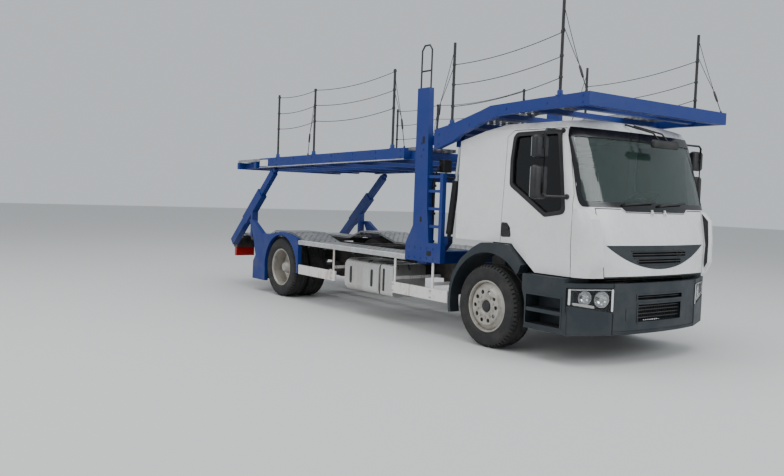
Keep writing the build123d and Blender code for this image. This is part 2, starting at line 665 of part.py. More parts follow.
def bumper_volume(inset):
    """The space inside the bumper's plan outline, with the outer wall moved in."""
    corner, edge = (front_axle_x + 1395, 760), (bumper_rear_x + 30, bumper_y)
    back_x = bumper_rear_x - 300
    with BuildPart() as volume:
        with BuildSketch(Plane.XY.offset(bumper_z[0])):
            with BuildLine():
                Polyline(corner, edge, (back_x, bumper_y), (back_x, -bumper_y), (edge[0], -edge[1]),
                         (corner[0], -corner[1]))
                ThreePointArc((corner[0], -corner[1]), (front_axle_x + front_overhang, 0), corner)
            make_face()
            if inset:
                offset(amount=-inset, kind=Kind.INTERSECTION)
        extrude(amount=bumper_z[1] - bumper_z[0])
        block((bumper_rear_x, front_axle_x + 1600), (-side_y, side_y), (0, 1000), mode=Mode.INTERSECT)
    return volume.part


def lamp_pocket(shrink, side):
    """The block that a headlamp fills at the bumper's corner."""
    with BuildPart() as pocket:
        low, high = lamp_inner_y + shrink, side_y + 50
        block((bumper_rear_x + 20 + shrink, front_axle_x + 1600), sorted((side * low, side * high)),
              (lamp_z[0] + shrink, lamp_z[1] - shrink))
    return pocket.part


with BuildPart() as bumper:
    add(bumper_volume(0))
    add(bumper_volume(bumper_wall), mode=Mode.SUBTRACT)
    for side in (-1, 1):
        add(lamp_pocket(0, side), mode=Mode.SUBTRACT)
        block((bumper_rear_x, bumper_rear_x + 25), sorted((side * (frame_half - 60), side * (bumper_y - 30))),
              (420, 540))
        block((frame_front_x + seat_gap, front_axle_x + 1415), sorted((side * 345, side * frame_half)),
              (frame_bottom + 40, frame_top - 40))
    block((bumper_rear_x + 100, front_axle_x + 1600), (-400, 400), (690, 738), mode=Mode.SUBTRACT)
    block((bumper_rear_x + 100, front_axle_x + 1600), (-385, 385), (455, 640), mode=Mode.SUBTRACT)
save(bumper.part, "bumper")

with BuildPart() as headlamps:
    for side in (-1, 1):
        with BuildPart(mode=Mode.PRIVATE) as lamp:
            add(bumper_volume(4))
            add(bumper_volume(bumper_wall + 40), mode=Mode.SUBTRACT)
            add(lamp_pocket(seat_gap, side), mode=Mode.INTERSECT)
        add(lamp.part)
save(headlamps.part, "headlamps")

# Cab steps beside the front wheels, and the arches over them
arch_radius = 620
arch_lip = 90
step_x = (front_axle_x + 560, bumper_rear_x - seat_gap)
step_z = (330, 915)
step_inner_y = 840
with BuildPart() as cab_steps:
    block(step_x, (step_inner_y, bumper_y), step_z)
    cross_rod(front_axle_x, tyre_radius, arch_radius, step_inner_y - 10, side_y + 10, mode=Mode.SUBTRACT)
    block((step_x[0] + 70, step_x[1] - 40), (bumper_y - 230, bumper_y + 10), (390, 520), mode=Mode.SUBTRACT)
    block((step_x[0] + 70, step_x[1] - 40), (bumper_y - 200, bumper_y + 10), (560, 700), mode=Mode.SUBTRACT)
    block((step_x[0] + 300, step_x[1] - 60), (frame_half + seat_gap, step_inner_y + 10), (640, 720))
    mirror(about=Plane.XZ)
save(cab_steps.part, "cab_steps")

with BuildPart() as front_arches:
    with BuildSketch(Plane.XZ.offset(-bumper_y)):
        with Locations((front_axle_x, tyre_radius)):
            Circle(arch_radius + 30)
            Circle(arch_radius, mode=Mode.SUBTRACT)
    extrude(amount=375)
    with BuildSketch(Plane.XZ.offset(-bumper_y)):
        with Locations((front_axle_x, tyre_radius)):
            Circle(arch_radius + arch_lip)
            Circle(arch_radius, mode=Mode.SUBTRACT)
    extrude(amount=22)
    block((step_x[0] - 20, front_axle_x + 900), (0, 1300), (0, 1000), mode=Mode.SUBTRACT)
    block((front_axle_x - 900, front_axle_x + 900), (0, 1300), (-400, 600), mode=Mode.SUBTRACT)
    block((front_axle_x - 30, front_axle_x + 30), (frame_half + seat_gap, bumper_y - 360),
          (frame_top - 60, frame_top - 10))
    block((front_axle_x - 30, front_axle_x + 30), (bumper_y - 375, bumper_y - 355), (frame_top - 60, 1110))
    mirror(about=Plane.XZ)
save(front_arches.part, "front_arches")

# Mirrors on the doors: an arm bracket with two housings
mirror_y = 1405
mirror_x = front_axle_x + 905
for name, side in (("right", -1), ("left", 1)):
    with BuildPart() as mirror_set:
        for z_low, z_high in ((1725, 2080), (2150, 2390)):
            block((mirror_x - 60, mirror_x + 40), sorted((side * (mirror_y - 100), side * (mirror_y + 105))),
                  (z_low, z_high))
        arm_x = mirror_x + 50
        round_bar((arm_x, side * mirror_y, 1760), (arm_x, side * mirror_y, 2455), 14)
        round_bar((arm_x, side * mirror_y, 2455), (arm_x, side * (cab_half - 22), 2455), 14)
        round_bar((arm_x, side * mirror_y, 1760), (arm_x + 113, side * (cab_half - 2), 1760), 14)
        add(outer_form, mode=Mode.SUBTRACT)
    save(mirror_set.part, f"mirror_{name}")

# Wipers at the foot of the windscreen; the front mirror hangs on two arms from the roof
wiper_ends = [((1350, -560), (1372, -60)), ((1376, 20), (1352, 520))]
with BuildPart() as wipers:
    for root, tip in wiper_ends:
        round_bar((front_axle_x + root[0], root[1], 1700), (front_axle_x + tip[0], tip[1], 1735), 12)
        round_bar((front_axle_x + root[0] - 120, root[1], 1668), (front_axle_x + root[0] + 4, root[1], 1701), 14)
    add(outer_form, mode=Mode.SUBTRACT)
save(wipers.part, "wipers")

with BuildPart() as front_mirror:
    with Locations((front_axle_x + 1300, 160, 2380)):
        Box(70, 480, 90)
    for y in (80, 240):
        round_bar((front_axle_x + 1295, y, 2400), (front_axle_x + 1010, y - 280, 2590), 10)
    add(outer_form, mode=Mode.SUBTRACT)
save(front_mirror.part, "front_mirror")

# Cab interior: floor box and dashboard; the steering wheel and the two seats are nodes of their own
seat_x = (front_axle_x - 200, front_axle_x + 330)
box_top_z = 1290
dash_x = (front_axle_x + 930, firewall_x[0] - seat_gap)
dash_z = (1250, 1600)
wheel_centre = (front_axle_x + 720, 560, 1750)
with BuildPart() as cab_interior:
    block(dash_x, (-1040, 1040), dash_z)
    block((cab_rear_x + cab_wall + seat_gap, front_axle_x + 300), (-1000, 1000),
          (cab_floor_z + cab_wall + seat_gap, box_top_z))
save(cab_interior.part, "cab_interior")

with BuildPart() as steering_wheel:
    with Locations(Plane(origin=wheel_centre, z_dir=(-0.5, 0, 0.86))):
        Torus(215, 16)
        Box(60, 420, 14)
    round_bar(wheel_centre, (front_axle_x + 960, 560, 1400), 30)
    block((dash_x[0] - seat_gap, dash_x[1]), (0, 1000), dash_z, mode=Mode.SUBTRACT)
    block((dash_x[0] - seat_gap, dash_x[1]), (0, 1000), (0, dash_z[0]), mode=Mode.SUBTRACT)
save(steering_wheel.part, "steering_wheel")

with BuildPart() as seats:
    for y in (-560, 560):
        block(seat_x, (y - 250, y + 250), (box_top_z + seat_gap, 1640))
        side_plate([(seat_x[0], 1500), (seat_x[0] + 140, 1500), (seat_x[0] + 70, 2330), (seat_x[0] - 50, 2330)],
                   y - 230, y + 230)
save(seats.part, "seats")

# Stakes on the upper decks: distance from the front axle, (base height) and top height
stake_radius = 17
stake_y = side_y - 22
socket_depth = 60
cab_stakes = [(-730, 2592, 3570), (960, 2810, 3790)]
main_stakes = [(-1920, 3380), (-3930, 3290), (-5060, 3280)]

# Over-cab deck: cranked side beams, cross members, front beam and runways
cab_beam_top = [(-1030, 2540), (-690, 2600), (-220, 2720), (-50, 2770), (700, 2800), (1370, 2822)]
cab_beam_low = [(1370, 2684), (710, 2680), (60, 2650), (-200, 2580), (-550, 2460), (-670, 2390), (-960, 2305),
                (-1030, 2305)]
cab_deck_front_x = front_axle_x + 1370
arm_plate_y = (lug_y[0] - run_gap - lug_wall, lug_y[0] - run_gap)
cab_track_line = [(-1000, 2500), (-690, 2572), (-50, 2733), (1265, 2767)]
cab_cross_x = [-930, -800, -560, -160, 450, 950]
track_wall = 12
track_depth = 45


def cab_track_z(x):
    """Height of the over-cab runway's underside, at a distance from the front axle."""
    for (x_rear, z_rear), (x_front, z_front) in zip(cab_track_line, cab_track_line[1:]):
        if x <= x_front:
            break
    return z_rear + (x - x_rear) * (z_front - z_rear) / (x_front - x_rear)


with BuildPart() as cab_deck:
    side_plate([(front_axle_x + x, z) for x, z in cab_beam_top + cab_beam_low], side_y - beam_wall, side_y)
    side_plate([(cab_pivot_x - 60, cab_pivot_z - 60), (front_axle_x - 700, cab_pivot_z - 10),
                (front_axle_x - 700, cab_pivot_z + 110), (cab_pivot_x - 60, cab_pivot_z + 60)], *arm_plate_y)
    block((cab_deck_front_x - 100, cab_deck_front_x), (0, side_y), (2684, 2822))
    for x in cab_cross_x:
        side_plate([(front_axle_x + x + dx, cab_track_z(x + dx) - dz)
                    for dx, dz in ((-40, 55), (40, 55), (40, seat_gap), (-40, seat_gap))],
                   0, side_y - beam_wall + 1)
    for y in (lift_y - 38, lift_y + 26):
        side_plate([(lift_eye[0] - 38, lift_eye[1] - 38), (lift_eye[0] + 38, lift_eye[1] - 38),
                    (lift_eye[0] + 38, lift_eye[1] + 140), (lift_eye[0] - 38, lift_eye[1] + 140)], y, y + 12)
    cross_rod(*lift_eye, lift_pin, lift_y - 38, lift_y + 38)
    cross_rod(cab_pivot_x, cab_pivot_z, pivot_radius, arm_plate_y[0], lug_y[1] - 2)
    for x, z_low, z_high in cab_stakes:
        round_bar((front_axle_x + x, stake_y, z_low - socket_depth), (front_axle_x + x, stake_y, z_high),
                  stake_radius + seat_gap, mode=Mode.SUBTRACT)
    mirror(about=Plane.XZ)
save(cab_deck.part, "cab_deck")


def runway(line):
    """A channel-shaped runway along an (x, z) line of its underside: top sheet and two edge flanges."""
    top = [(x, z + track_depth) for x, z in line]
    with BuildPart() as track:
        side_plate(line + top[::-1], deck_track[0], deck_track[0] + track_wall)
        side_plate(line + top[::-1], deck_track[1] - track_wall, deck_track[1])
        side_plate([(x, z - track_wall) for x, z in top] + top[::-1], *deck_track)
        mirror(about=Plane.XZ)
    return track.part


save(runway([(front_axle_x + x, z) for x, z in cab_track_line]), "cab_runways")


# Main upper deck: side beams, cross members, roller guides and runways
main_cross_x = [main_beam_front_x - 40, front_axle_x - 2500, front_axle_x - 3300, rear_axle_x + 700,
                rear_axle_x + 50, rear_axle_x - 640, rear_axle_x - 1250, main_deck_rear_x + 45]
with BuildPart() as main_deck:
    side_plate(deck_band(main_beam_rear_x, main_beam_front_x, beam_low, beam_high), side_y - beam_wall, side_y)
    side_plate(deck_band(main_deck_rear_x, main_beam_rear_x + 300, beam_low + 20, beam_high - 30),
               900, 960)
    side_plate(deck_band(arm_tip[0] - 200, arm_tip[0] + 650, beam_low, beam_low + 30),
               arm_y[0] + 15, side_y - beam_wall + 1)
    for x in main_cross_x:
        wide = side_y - beam_wall + 1 if x > main_beam_rear_x else 1100
        side_plate(deck_band(x - 40, x + 40, beam_low + 10, beam_high - 30), 0, wide)
    side_plate(deck_band(main_pivot_x - 60, main_pivot_x + 60, -60, 60)[:1]
               + [(main_pivot_x + 60, main_pivot_z - 60), (main_pivot_x + 60, main_pivot_z + 60),
                  (main_beam_front_x - 60, main_pivot_z + 60), (main_beam_front_x - 60, main_pivot_z - 40)],
               *arm_plate_y)
    cross_rod(main_pivot_x, main_pivot_z, pivot_radius, arm_plate_y[0], lug_y[1] - 2)
    for x, z_high in main_stakes:
        low = deck_z(front_axle_x + x) + beam_high - socket_depth
        round_bar((front_axle_x + x, stake_y, low), (front_axle_x + x, stake_y, z_high),
                  stake_radius + seat_gap, mode=Mode.SUBTRACT)
    mirror(about=Plane.XZ)
save(main_deck.part, "main_deck")

runway_low = beam_high - 30 + seat_gap
save(runway([(x, deck_z(x) + runway_low) for x in (main_deck_rear_x, main_pivot_x - 60)]), "main_runways")

# Lift cylinders of the over-cab deck: barrels hinged on the frame, rods with eyes
def lift_point(share):
    """A point on the cylinder's axis, as a share of its length."""
    return (lift_foot[0] + share * (lift_eye[0] - lift_foot[0]), lift_y,
            lift_foot[1] + share * (lift_eye[1] - lift_foot[1]))


with BuildPart() as lift_barrels:
    round_bar(lift_point(0.06), lift_point(lift_split), 45)
    round_bar(lift_point(0.1), lift_point(lift_split + 0.01), 22 + pin_gap, mode=Mode.SUBTRACT)
    cross_rod(*lift_foot, 40, lift_y - 25, lift_y + 25)
    round_bar((lift_foot[0], lift_y, lift_foot[1]), lift_point(0.08), 25)
    cross_rod(*lift_foot, lift_pin + pin_gap, lift_y - 26, lift_y + 26, mode=Mode.SUBTRACT)
    mirror(about=Plane.XZ)
save(lift_barrels.part, "lift_barrels")

with BuildPart() as lift_rods:
    round_bar(lift_point(0.2), lift_point(0.975), 22)
    cross_rod(*lift_eye, 36, lift_y - 22, lift_y + 22)
    mirror(about=Plane.XZ)
    for side in (-1, 1):
        cross_rod(*lift_eye, lift_pin + eye_play, side * lift_y - 23, side * lift_y + 23, mode=Mode.SUBTRACT)
save(lift_rods.part, "lift_rods")

# Stakes that carry the safety ropes, set into both upper decks' side beams
with BuildPart() as cab_stake_set:
    for x, z_low, z_high in cab_stakes:
        round_bar((front_axle_x + x, stake_y, z_low - socket_depth + seat_gap),
                  (front_axle_x + x, stake_y, z_high), stake_radius)
    mirror(about=Plane.XZ)
save(cab_stake_set.part, "cab_stakes")

with BuildPart() as main_stake_set:
    for x, z_high in main_stakes:
        low = deck_z(front_axle_x + x) + beam_high - socket_depth
        round_bar((front_axle_x + x, stake_y, low + seat_gap), (front_axle_x + x, stake_y, z_high), stake_radius)
    mirror(about=Plane.XZ)
save(main_stake_set.part, "main_stakes")

# Knuckles: fork round each kingpin boss, flange and stub axle
knuckle_y = 985
stub_end_y = 1120
for name, side in (("right", -1), ("left", 1)):
    with BuildPart() as knuckle:
        for z in ((boss_z[0] - 32, boss_z[0] - 1), (boss_z[1] + 1, boss_z[1] + 32)):
            block((front_axle_x - 45, front_axle_x + 45), sorted((side * (kingpin_y - 45), side * (knuckle_y + 25))), z)
        block((front_axle_x - 60, front_axle_x + 60), sorted((side * knuckle_y, side * (knuckle_y + 25))),
              (boss_z[0] - 32, boss_z[1] + 32))
        cross_rod(front_axle_x, tyre_radius, hub_bore - pin_gap, *sorted((side * knuckle_y, side * stub_end_y)))
        round_bar((front_axle_x, side * kingpin_y, boss_z[0] - 20), (front_axle_x, side * kingpin_y, boss_z[1] + 20),
                  kingpin_radius)
    save(knuckle.part, f"knuckle_{name}")


# Wheels: profiles are (radius, distance in from the outer face), turned about the axle
def turned(profile, x, outer_y, side):
    """A ring turned about the axle line at x, from (radius, depth) points."""
    with BuildPart() as ring:
        with BuildSketch(Plane.XY) as section:
            Polygon(*[(radius, -depth) for radius, depth in profile], align=None)
        revolve(section.sketch, axis=Axis.Y)
    placed = ring.part.moved(Location((x, outer_y, tyre_radius)))
    return placed if side > 0 else placed.mirror(Plane.XZ)


def tyre_profile(width):
    """Half a tyre's section, from the bead over the tread and back, as (radius, depth)."""
    outer = [(rim_seat_radius + bead_gap, 41), (rim_radius + bead_gap, 27), (rim_radius + bead_gap, 20),
             (rim_radius + 60, 4), (tyre_radius - 60, 0), (tyre_radius - 12, 28), (tyre_radius, 56)]
    return outer + [(radius, width - depth) for radius, depth in reversed(outer)]


def rim_profile(width):
    """A rim's section: flanges, bead seats and barrel."""
    outer = [(rim_seat_radius, 40), (rim_radius, 26), (rim_radius, 18), (rim_radius - 14, 18),
             (rim_seat_radius - rim_wall, 40)]
    return outer + [(radius, width - depth) for radius, depth in reversed(outer)]


for name, side in (("right", -1), ("left", 1)):
    save(turned(tyre_profile(front_tyre_width), front_axle_x, wheel_face_y, side), f"front_tyre_{name}")
    with BuildPart() as front_rim:
        add(turned(rim_profile(front_tyre_width), front_axle_x, wheel_face_y, side))
        disc = [(hub_bore, 20), (hub_radius - 20, 20), (hub_radius, 2), (212, 2), (232, 30),
                (rim_seat_radius - rim_wall + 1, 60), (rim_seat_radius - rim_wall + 1, 76), (222, 46), (200, 18),
                (hub_radius, 18), (hub_radius, 180), (hub_bore, 180)]
        add(turned(disc, front_axle_x, wheel_face_y, side))
        with BuildSketch(Plane.XZ.offset(-side * wheel_face_y - 60)) as holes:
            with Locations((front_axle_x, tyre_radius)):
                with PolarLocations(hole_circle, hole_count):
                    Circle(hole_radius)
        extrude(holes.sketch, amount=120, mode=Mode.SUBTRACT)
    save(front_rim.part, f"front_rim_{name}")

    inner_face_y = wheel_face_y - rear_tyre_width - twin_gap
    with BuildPart() as rear_tyres:
        add(turned(tyre_profile(rear_tyre_width), rear_axle_x, wheel_face_y, side))
        add(turned(tyre_profile(rear_tyre_width), rear_axle_x, inner_face_y, side))
    save(rear_tyres.part, f"rear_tyres_{name}")
    with BuildPart() as rear_rim:
        add(turned(rim_profile(rear_tyre_width), rear_axle_x, wheel_face_y, side))
        add(turned(rim_profile(rear_tyre_width), rear_axle_x, inner_face_y, side))
        barrel = rim_seat_radius - rim_wall + 1
        disc = [(hub_radius, twin_plane - 18), (215, twin_plane - 18), (barrel, twin_plane - 70),
                (barrel, twin_plane - 50), (235, twin_plane), (barrel, twin_plane + 50),
                (barrel, twin_plane + 70), (215, twin_plane + 18), (hub_radius, twin_plane + 18)]
        add(turned(disc, rear_axle_x, wheel_face_y, side))
        bore = rear_tube_radius + 1
        hub = [(0, 70), (60, 70), (95, 120), (hub_radius + 45, twin_plane - 60), (hub_radius + 45, twin_plane + 130),
               (bore, twin_plane + 130), (bore, twin_plane + 40), (0, twin_plane + 40)]
        add(turned(hub, rear_axle_x, wheel_face_y, side))
    save(rear_rim.part, f"rear_rims_{name}")
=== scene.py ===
from functools import partial
from math import asin, atan2, cos, hypot, pi, radians, sin, sqrt, tan

import bmesh
import bpy
from mathutils import Matrix, Vector


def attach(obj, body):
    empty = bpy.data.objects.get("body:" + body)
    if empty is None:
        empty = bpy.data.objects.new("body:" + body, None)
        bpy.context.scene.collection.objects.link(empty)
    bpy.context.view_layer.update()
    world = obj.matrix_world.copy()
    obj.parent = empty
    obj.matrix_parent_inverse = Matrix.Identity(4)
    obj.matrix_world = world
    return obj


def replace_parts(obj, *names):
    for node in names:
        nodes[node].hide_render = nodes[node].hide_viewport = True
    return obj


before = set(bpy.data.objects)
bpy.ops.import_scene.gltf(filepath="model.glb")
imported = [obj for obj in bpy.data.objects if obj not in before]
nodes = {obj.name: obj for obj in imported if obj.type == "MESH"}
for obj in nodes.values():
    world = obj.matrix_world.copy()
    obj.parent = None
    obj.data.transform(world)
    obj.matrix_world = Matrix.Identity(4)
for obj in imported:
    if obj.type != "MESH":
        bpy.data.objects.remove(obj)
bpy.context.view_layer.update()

# Places in metres: X forward, Y to the truck's left, Z up from the ground
wheelbase = 4.85
front_axle = 2.715
rear_axle = front_axle - wheelbase
side_y = 1.24
cab_half = 1.158
tyre_radius = 0.476
wheel_face = 1.237
deck_track = (0.44, 1.08)
lower_track = (0.55, 1.168)
both_sides = (("right", -1), ("left", 1))


# Materials: each is built from the shader's own sockets and patterns on object coordinates
class Finish:
    """A material under construction, with short calls for the patterns that it mixes."""

    def __init__(self, name, colour, roughness, metallic=0.0):
        self.material = bpy.data.materials.new(name)
        self.material.use_nodes = True
        self.tree = self.material.node_tree
        self.shader = self.tree.nodes["Principled BSDF"]
        self.shader.inputs["Base Color"].default_value = (*colour, 1)
        self.shader.inputs["Roughness"].default_value = roughness
        self.shader.inputs["Metallic"].default_value = metallic
        self.place = self.add("ShaderNodeTexCoord").outputs["Object"]
        self.colour = None
        self.rough = None
        self.base = colour

    def add(self, kind, **values):
        node = self.tree.nodes.new(kind)
        for key, value in values.items():
            setattr(node, key, value)
        return node

    def link(self, source, target):
        self.tree.links.new(source, target)

    def stretched(self, scale):
        mapping = self.add("ShaderNodeMapping")
        mapping.inputs["Scale"].default_value = scale
        self.link(self.place, mapping.inputs["Vector"])
        return mapping.outputs["Vector"]

    def noise(self, scale, detail=4.0, stretch=None, roughness=0.55):
        noise = self.add("ShaderNodeTexNoise")
        noise.inputs["Scale"].default_value = scale
        noise.inputs["Detail"].default_value = detail
        noise.inputs["Roughness"].default_value = roughness
        self.link(self.stretched(stretch) if stretch else self.place, noise.inputs["Vector"])
        return noise.outputs["Fac"]

    def cells(self, scale):
        cells = self.add("ShaderNodeTexVoronoi")
        cells.inputs["Scale"].default_value = scale
        self.link(self.place, cells.inputs["Vector"])
        return cells.outputs["Color"]

    def ramp(self, value, low, high, out_low=0.0, out_high=1.0):
        step = self.add("ShaderNodeMapRange")
        step.inputs["From Min"].default_value = low
        step.inputs["From Max"].default_value = high
        step.inputs["To Min"].default_value = out_low
        step.inputs["To Max"].default_value = out_high
        self.link(value, step.inputs["Value"])
        return step.outputs["Result"]

    def height(self):
        split = self.add("ShaderNodeSeparateXYZ")
        self.link(self.place, split.inputs["Vector"])
        return split.outputs["Z"]

    def multiply(self, first, second):
        product = self.add("ShaderNodeMath", operation="MULTIPLY")
        for value, socket in zip((first, second), product.inputs):
            if isinstance(value, float):
                socket.default_value = value
            else:
                self.link(value, socket)
        return product.outputs["Value"]

    def paint(self, share, colour):
        """Lays a second colour over what is there, as far as share says."""
        mix = self.add("ShaderNodeMix", data_type="RGBA")
        if self.colour is None:
            mix.inputs[6].default_value = (*self.base, 1)
        else:
            self.link(self.colour, mix.inputs[6])
        mix.inputs[7].default_value = (*colour, 1)
        self.link(share, mix.inputs[0])
        self.colour = mix.outputs[2]
        return self

    def gloss(self, value):
        """Drives roughness from a pattern."""
        self.rough = value
        return self

    def bump(self, value, strength, distance=0.002):
        bump = self.add("ShaderNodeBump")
        bump.inputs["Strength"].default_value = strength
        bump.inputs["Distance"].default_value = distance
        self.link(value, bump.inputs["Height"])
        self.link(bump.outputs["Normal"], self.shader.inputs["Normal"])
        return self

    def set(self, **sockets):
        for name, value in sockets.items():
            self.shader.inputs[name.replace("_", " ")].default_value = value
        return self

    def done(self):
        if self.colour is not None:
            self.link(self.colour, self.shader.inputs["Base Color"])
        if self.rough is not None:
            self.link(self.rough, self.shader.inputs["Roughness"])
        return self.material


def painted_steel(name, colour, dirt, roughness=0.34, coat=0.25, chips=0.0):
    """Paint with faint unevenness, road dirt that thins out upwards, and optional rusty chips."""
    finish = Finish(name, colour, roughness)
    finish.paint(finish.ramp(finish.noise(1.3, 5), 0.35, 0.8, 0, 0.25), tuple(c * 0.72 for c in colour))
    low = finish.ramp(finish.height(), 1.5, 0.4, 0.15, 1.0)
    spots = finish.ramp(finish.noise(3.0, 8, roughness=0.65), 0.45, 0.75, 0, dirt)
    finish.paint(finish.multiply(low, spots), (0.16, 0.135, 0.105))
    if chips:
        rust = finish.ramp(finish.noise(9.0, 8, roughness=0.7), 0.66, 0.72, 0, chips)
        finish.paint(rust, (0.12, 0.05, 0.025))
    finish.gloss(finish.ramp(finish.noise(5.0, 4), 0.3, 0.8, roughness - 0.06, roughness + 0.16))
    finish.bump(finish.noise(60.0, 3), 0.05)
    finish.set(Coat_Weight=coat, Coat_Roughness=0.12)
    return finish.done()


def galvanised_steel(name, shade, rust):
    """Zinc spangle with dull patches and a little rust and mud."""
    finish = Finish(name, (shade, shade * 1.02, shade * 1.05), 0.5, 0.55)
    spangle = finish.add("ShaderNodeRGBToBW")
    finish.link(finish.cells(30.0), spangle.inputs["Color"])
    finish.paint(finish.ramp(spangle.outputs["Val"], 0.3, 0.8, 0, 0.45), (shade * 0.6,) * 3)
    finish.paint(finish.ramp(finish.noise(2.2, 8, roughness=0.7), 0.5, 0.78, 0, 0.7), (0.13, 0.115, 0.095))
    finish.paint(finish.ramp(finish.noise(6.0, 8, roughness=0.7), 0.62, 0.74, 0, rust), (0.15, 0.06, 0.025))
    finish.gloss(finish.ramp(finish.noise(8.0, 5), 0.3, 0.8, 0.38, 0.7))
    finish.bump(finish.noise(45.0, 4), 0.12)
    return finish.done()


def moulded_plastic(name, colour, dust=0.35):
    """Grained plastic with road dust."""
    finish = Finish(name, colour, 0.55)
    finish.paint(finish.ramp(finish.noise(2.4, 7, roughness=0.65), 0.45, 0.8, 0, dust), (0.13, 0.12, 0.105))
    finish.gloss(finish.ramp(finish.noise(4.0, 4), 0.3, 0.8, 0.42, 0.68))
    finish.bump(finish.noise(420.0, 2), 0.16, 0.0006)
    return finish.done()


def tyre_rubber():
    """Dull black rubber with dried mud."""
    finish = Finish("tyre_rubber", (0.017, 0.017, 0.018), 0.82)
    finish.paint(finish.ramp(finish.noise(7.0, 7, roughness=0.7), 0.42, 0.8, 0, 0.5), (0.085, 0.078, 0.066))
    finish.bump(finish.noise(160.0, 4), 0.2, 0.001)
    return finish.done()


def wheel_steel():
    """Worn silver paint with brown brake dust."""
    finish = Finish("wheel_steel", (0.42, 0.40, 0.36), 0.42, 0.35)
    finish.paint(finish.ramp(finish.noise(9.0, 8, roughness=0.7), 0.48, 0.75, 0, 0.75), (0.13, 0.085, 0.05))
    finish.gloss(finish.ramp(finish.noise(12.0, 4), 0.3, 0.8, 0.35, 0.65))
    finish.bump(finish.noise(70.0, 4), 0.1)
    return finish.done()


def tank_aluminium():
    """Brushed sheet with long stains and shallow dents."""
    finish = Finish("tank_aluminium", (0.66, 0.66, 0.65), 0.3, 1.0)
    stains = finish.ramp(finish.noise(3.0, 6, stretch=(1.0, 1.0, 0.25)), 0.45, 0.8, 0, 0.6)
    finish.paint(stains, (0.33, 0.27, 0.2))
    finish.gloss(finish.ramp(finish.noise(6.0, 6, stretch=(8.0, 1.0, 1.0)), 0.3, 0.75, 0.22, 0.48))
    finish.bump(finish.noise(2.2, 3), 0.25, 0.01)
    return finish.done()


def board_white():
    """White side boards with rust that runs down from their edges and bolts."""
    finish = Finish("board_white", (0.74, 0.73, 0.70), 0.42)
    streaks = finish.ramp(finish.noise(5.0, 7, stretch=(1.0, 1.0, 0.16), roughness=0.7), 0.53, 0.68, 0, 0.85)
    finish.paint(streaks, (0.30, 0.14, 0.06))
    finish.paint(finish.ramp(finish.noise(11.0, 8, roughness=0.7), 0.55, 0.75, 0, 0.5), (0.22, 0.19, 0.15))
    finish.bump(finish.noise(30.0, 4), 0.1)
    return finish.done()


def tinted_glass(name, colour, alpha, shine=0.9):
    """Glossy see-through glass with faint smears."""
    finish = Finish(name, colour, 0.03)
    finish.gloss(finish.ramp(finish.noise(3.0, 5), 0.45, 0.8, 0.02, 0.09))
    finish.set(Alpha=alpha, Coat_Weight=shine, Coat_Roughness=0.02, Specular_IOR_Level=shine * 0.6)
    return finish.done()


def plain(name, colour, roughness, metallic=0.0, uneven=0.1, grain=80.0):
    """A simple finish with slight unevenness in shade, gloss and grain."""
    finish = Finish(name, colour, roughness, metallic)
    finish.paint(finish.ramp(finish.noise(6.0, 5), 0.4, 0.8, 0, 0.4), tuple(c * 0.6 for c in colour))
    low, high = max(0.02, roughness - uneven), roughness + uneven
    finish.gloss(finish.ramp(finish.noise(9.0, 4), 0.3, 0.8, low, high))
    finish.bump(finish.noise(grain, 3), 0.06)
    return finish.done()


def woven_cloth(name, colour):
    """Coarse diagonal weave with a slight sheen."""
    finish = Finish(name, colour, 0.9)
    weave = finish.add("ShaderNodeTexWave", wave_type="BANDS", bands_direction="DIAGONAL")
    weave.inputs["Scale"].default_value = 160.0
    weave.inputs["Distortion"].default_value = 1.5
    finish.link(finish.place, weave.inputs["Vector"])
    finish.paint(finish.ramp(weave.outputs["Fac"], 0.2, 0.8, 0, 0.5), tuple(c * 1.9 for c in colour))
    finish.bump(weave.outputs["Fac"], 0.3, 0.001)
    finish.set(Sheen_Weight=0.3)
    return finish.done()


white_paint = painted_steel("cab_white", (0.78, 0.79, 0.79), 0.55, 0.26, 0.6)
blue_paint = painted_steel("deck_blue", (0.001, 0.024, 0.185), 0.35, 0.5, 0.0, 0.5)
black_paint = painted_steel("chassis_black", (0.014, 0.015, 0.017), 0.9, 0.5, 0.0, 0.6)
galvanised = galvanised_steel("runway_zinc", 0.40, 0.5)
# Pale zinc for the lower deck's edge rails, and also a painted highlight along the main beams' lower edges
zinc_and_highlight = galvanised_steel("zinc_rails_and_beam_highlight", 0.58, 0.25)
dark_plastic = moulded_plastic("bumper_plastic", (0.014, 0.022, 0.029), 0.25)
# Black plastic, and also painted shade on the corner fins' inner faces
black_plastic_and_slot_shade = moulded_plastic("black_plastic_and_slot_shade", (0.012, 0.013, 0.015), 0.25)
rubber = tyre_rubber()
steel_wheel = wheel_steel()
aluminium = tank_aluminium()
boards = board_white()
screen_glass = tinted_glass("windscreen_glass", (0.030, 0.060, 0.050), 0.42)
door_glass = tinted_glass("door_glass", (0.003, 0.004, 0.005), 0.86, 0.35)
lamp_glass = tinted_glass("lamp_glass", (0.05, 0.055, 0.06), 0.16, 0.6)
frit_black = plain("frit_black", (0.008, 0.008, 0.009), 0.16, 0.0, 0.05)
seal_rubber = plain("seal_rubber", (0.014, 0.014, 0.015), 0.6)
bright_metal = plain("bright_metal", (0.82, 0.83, 0.84), 0.12, 1.0, 0.06)
silver_plastic = plain("silver_plastic", (0.62, 0.64, 0.65), 0.3, 0.6)
dark_steel = plain("dark_steel", (0.05, 0.05, 0.052), 0.45, 0.7, 0.15)
zinc_bolt = plain("zinc_bolt", (0.45, 0.45, 0.44), 0.4, 0.8, 0.15)
red_lens = plain("red_lens", (0.42, 0.012, 0.012), 0.15)
amber_lens = plain("amber_lens", (0.75, 0.22, 0.01), 0.15)
white_lens = plain("white_lens", (0.78, 0.78, 0.75), 0.15)
rope_fibre = plain("rope_fibre", (0.018, 0.019, 0.022), 0.8, 0.0, 0.1, 300.0)
trim_plastic = plain("cab_trim", (0.060, 0.064, 0.070), 0.65, 0.0, 0.1, 300.0)
seat_cloth = woven_cloth("seat_cloth", (0.030, 0.036, 0.048))
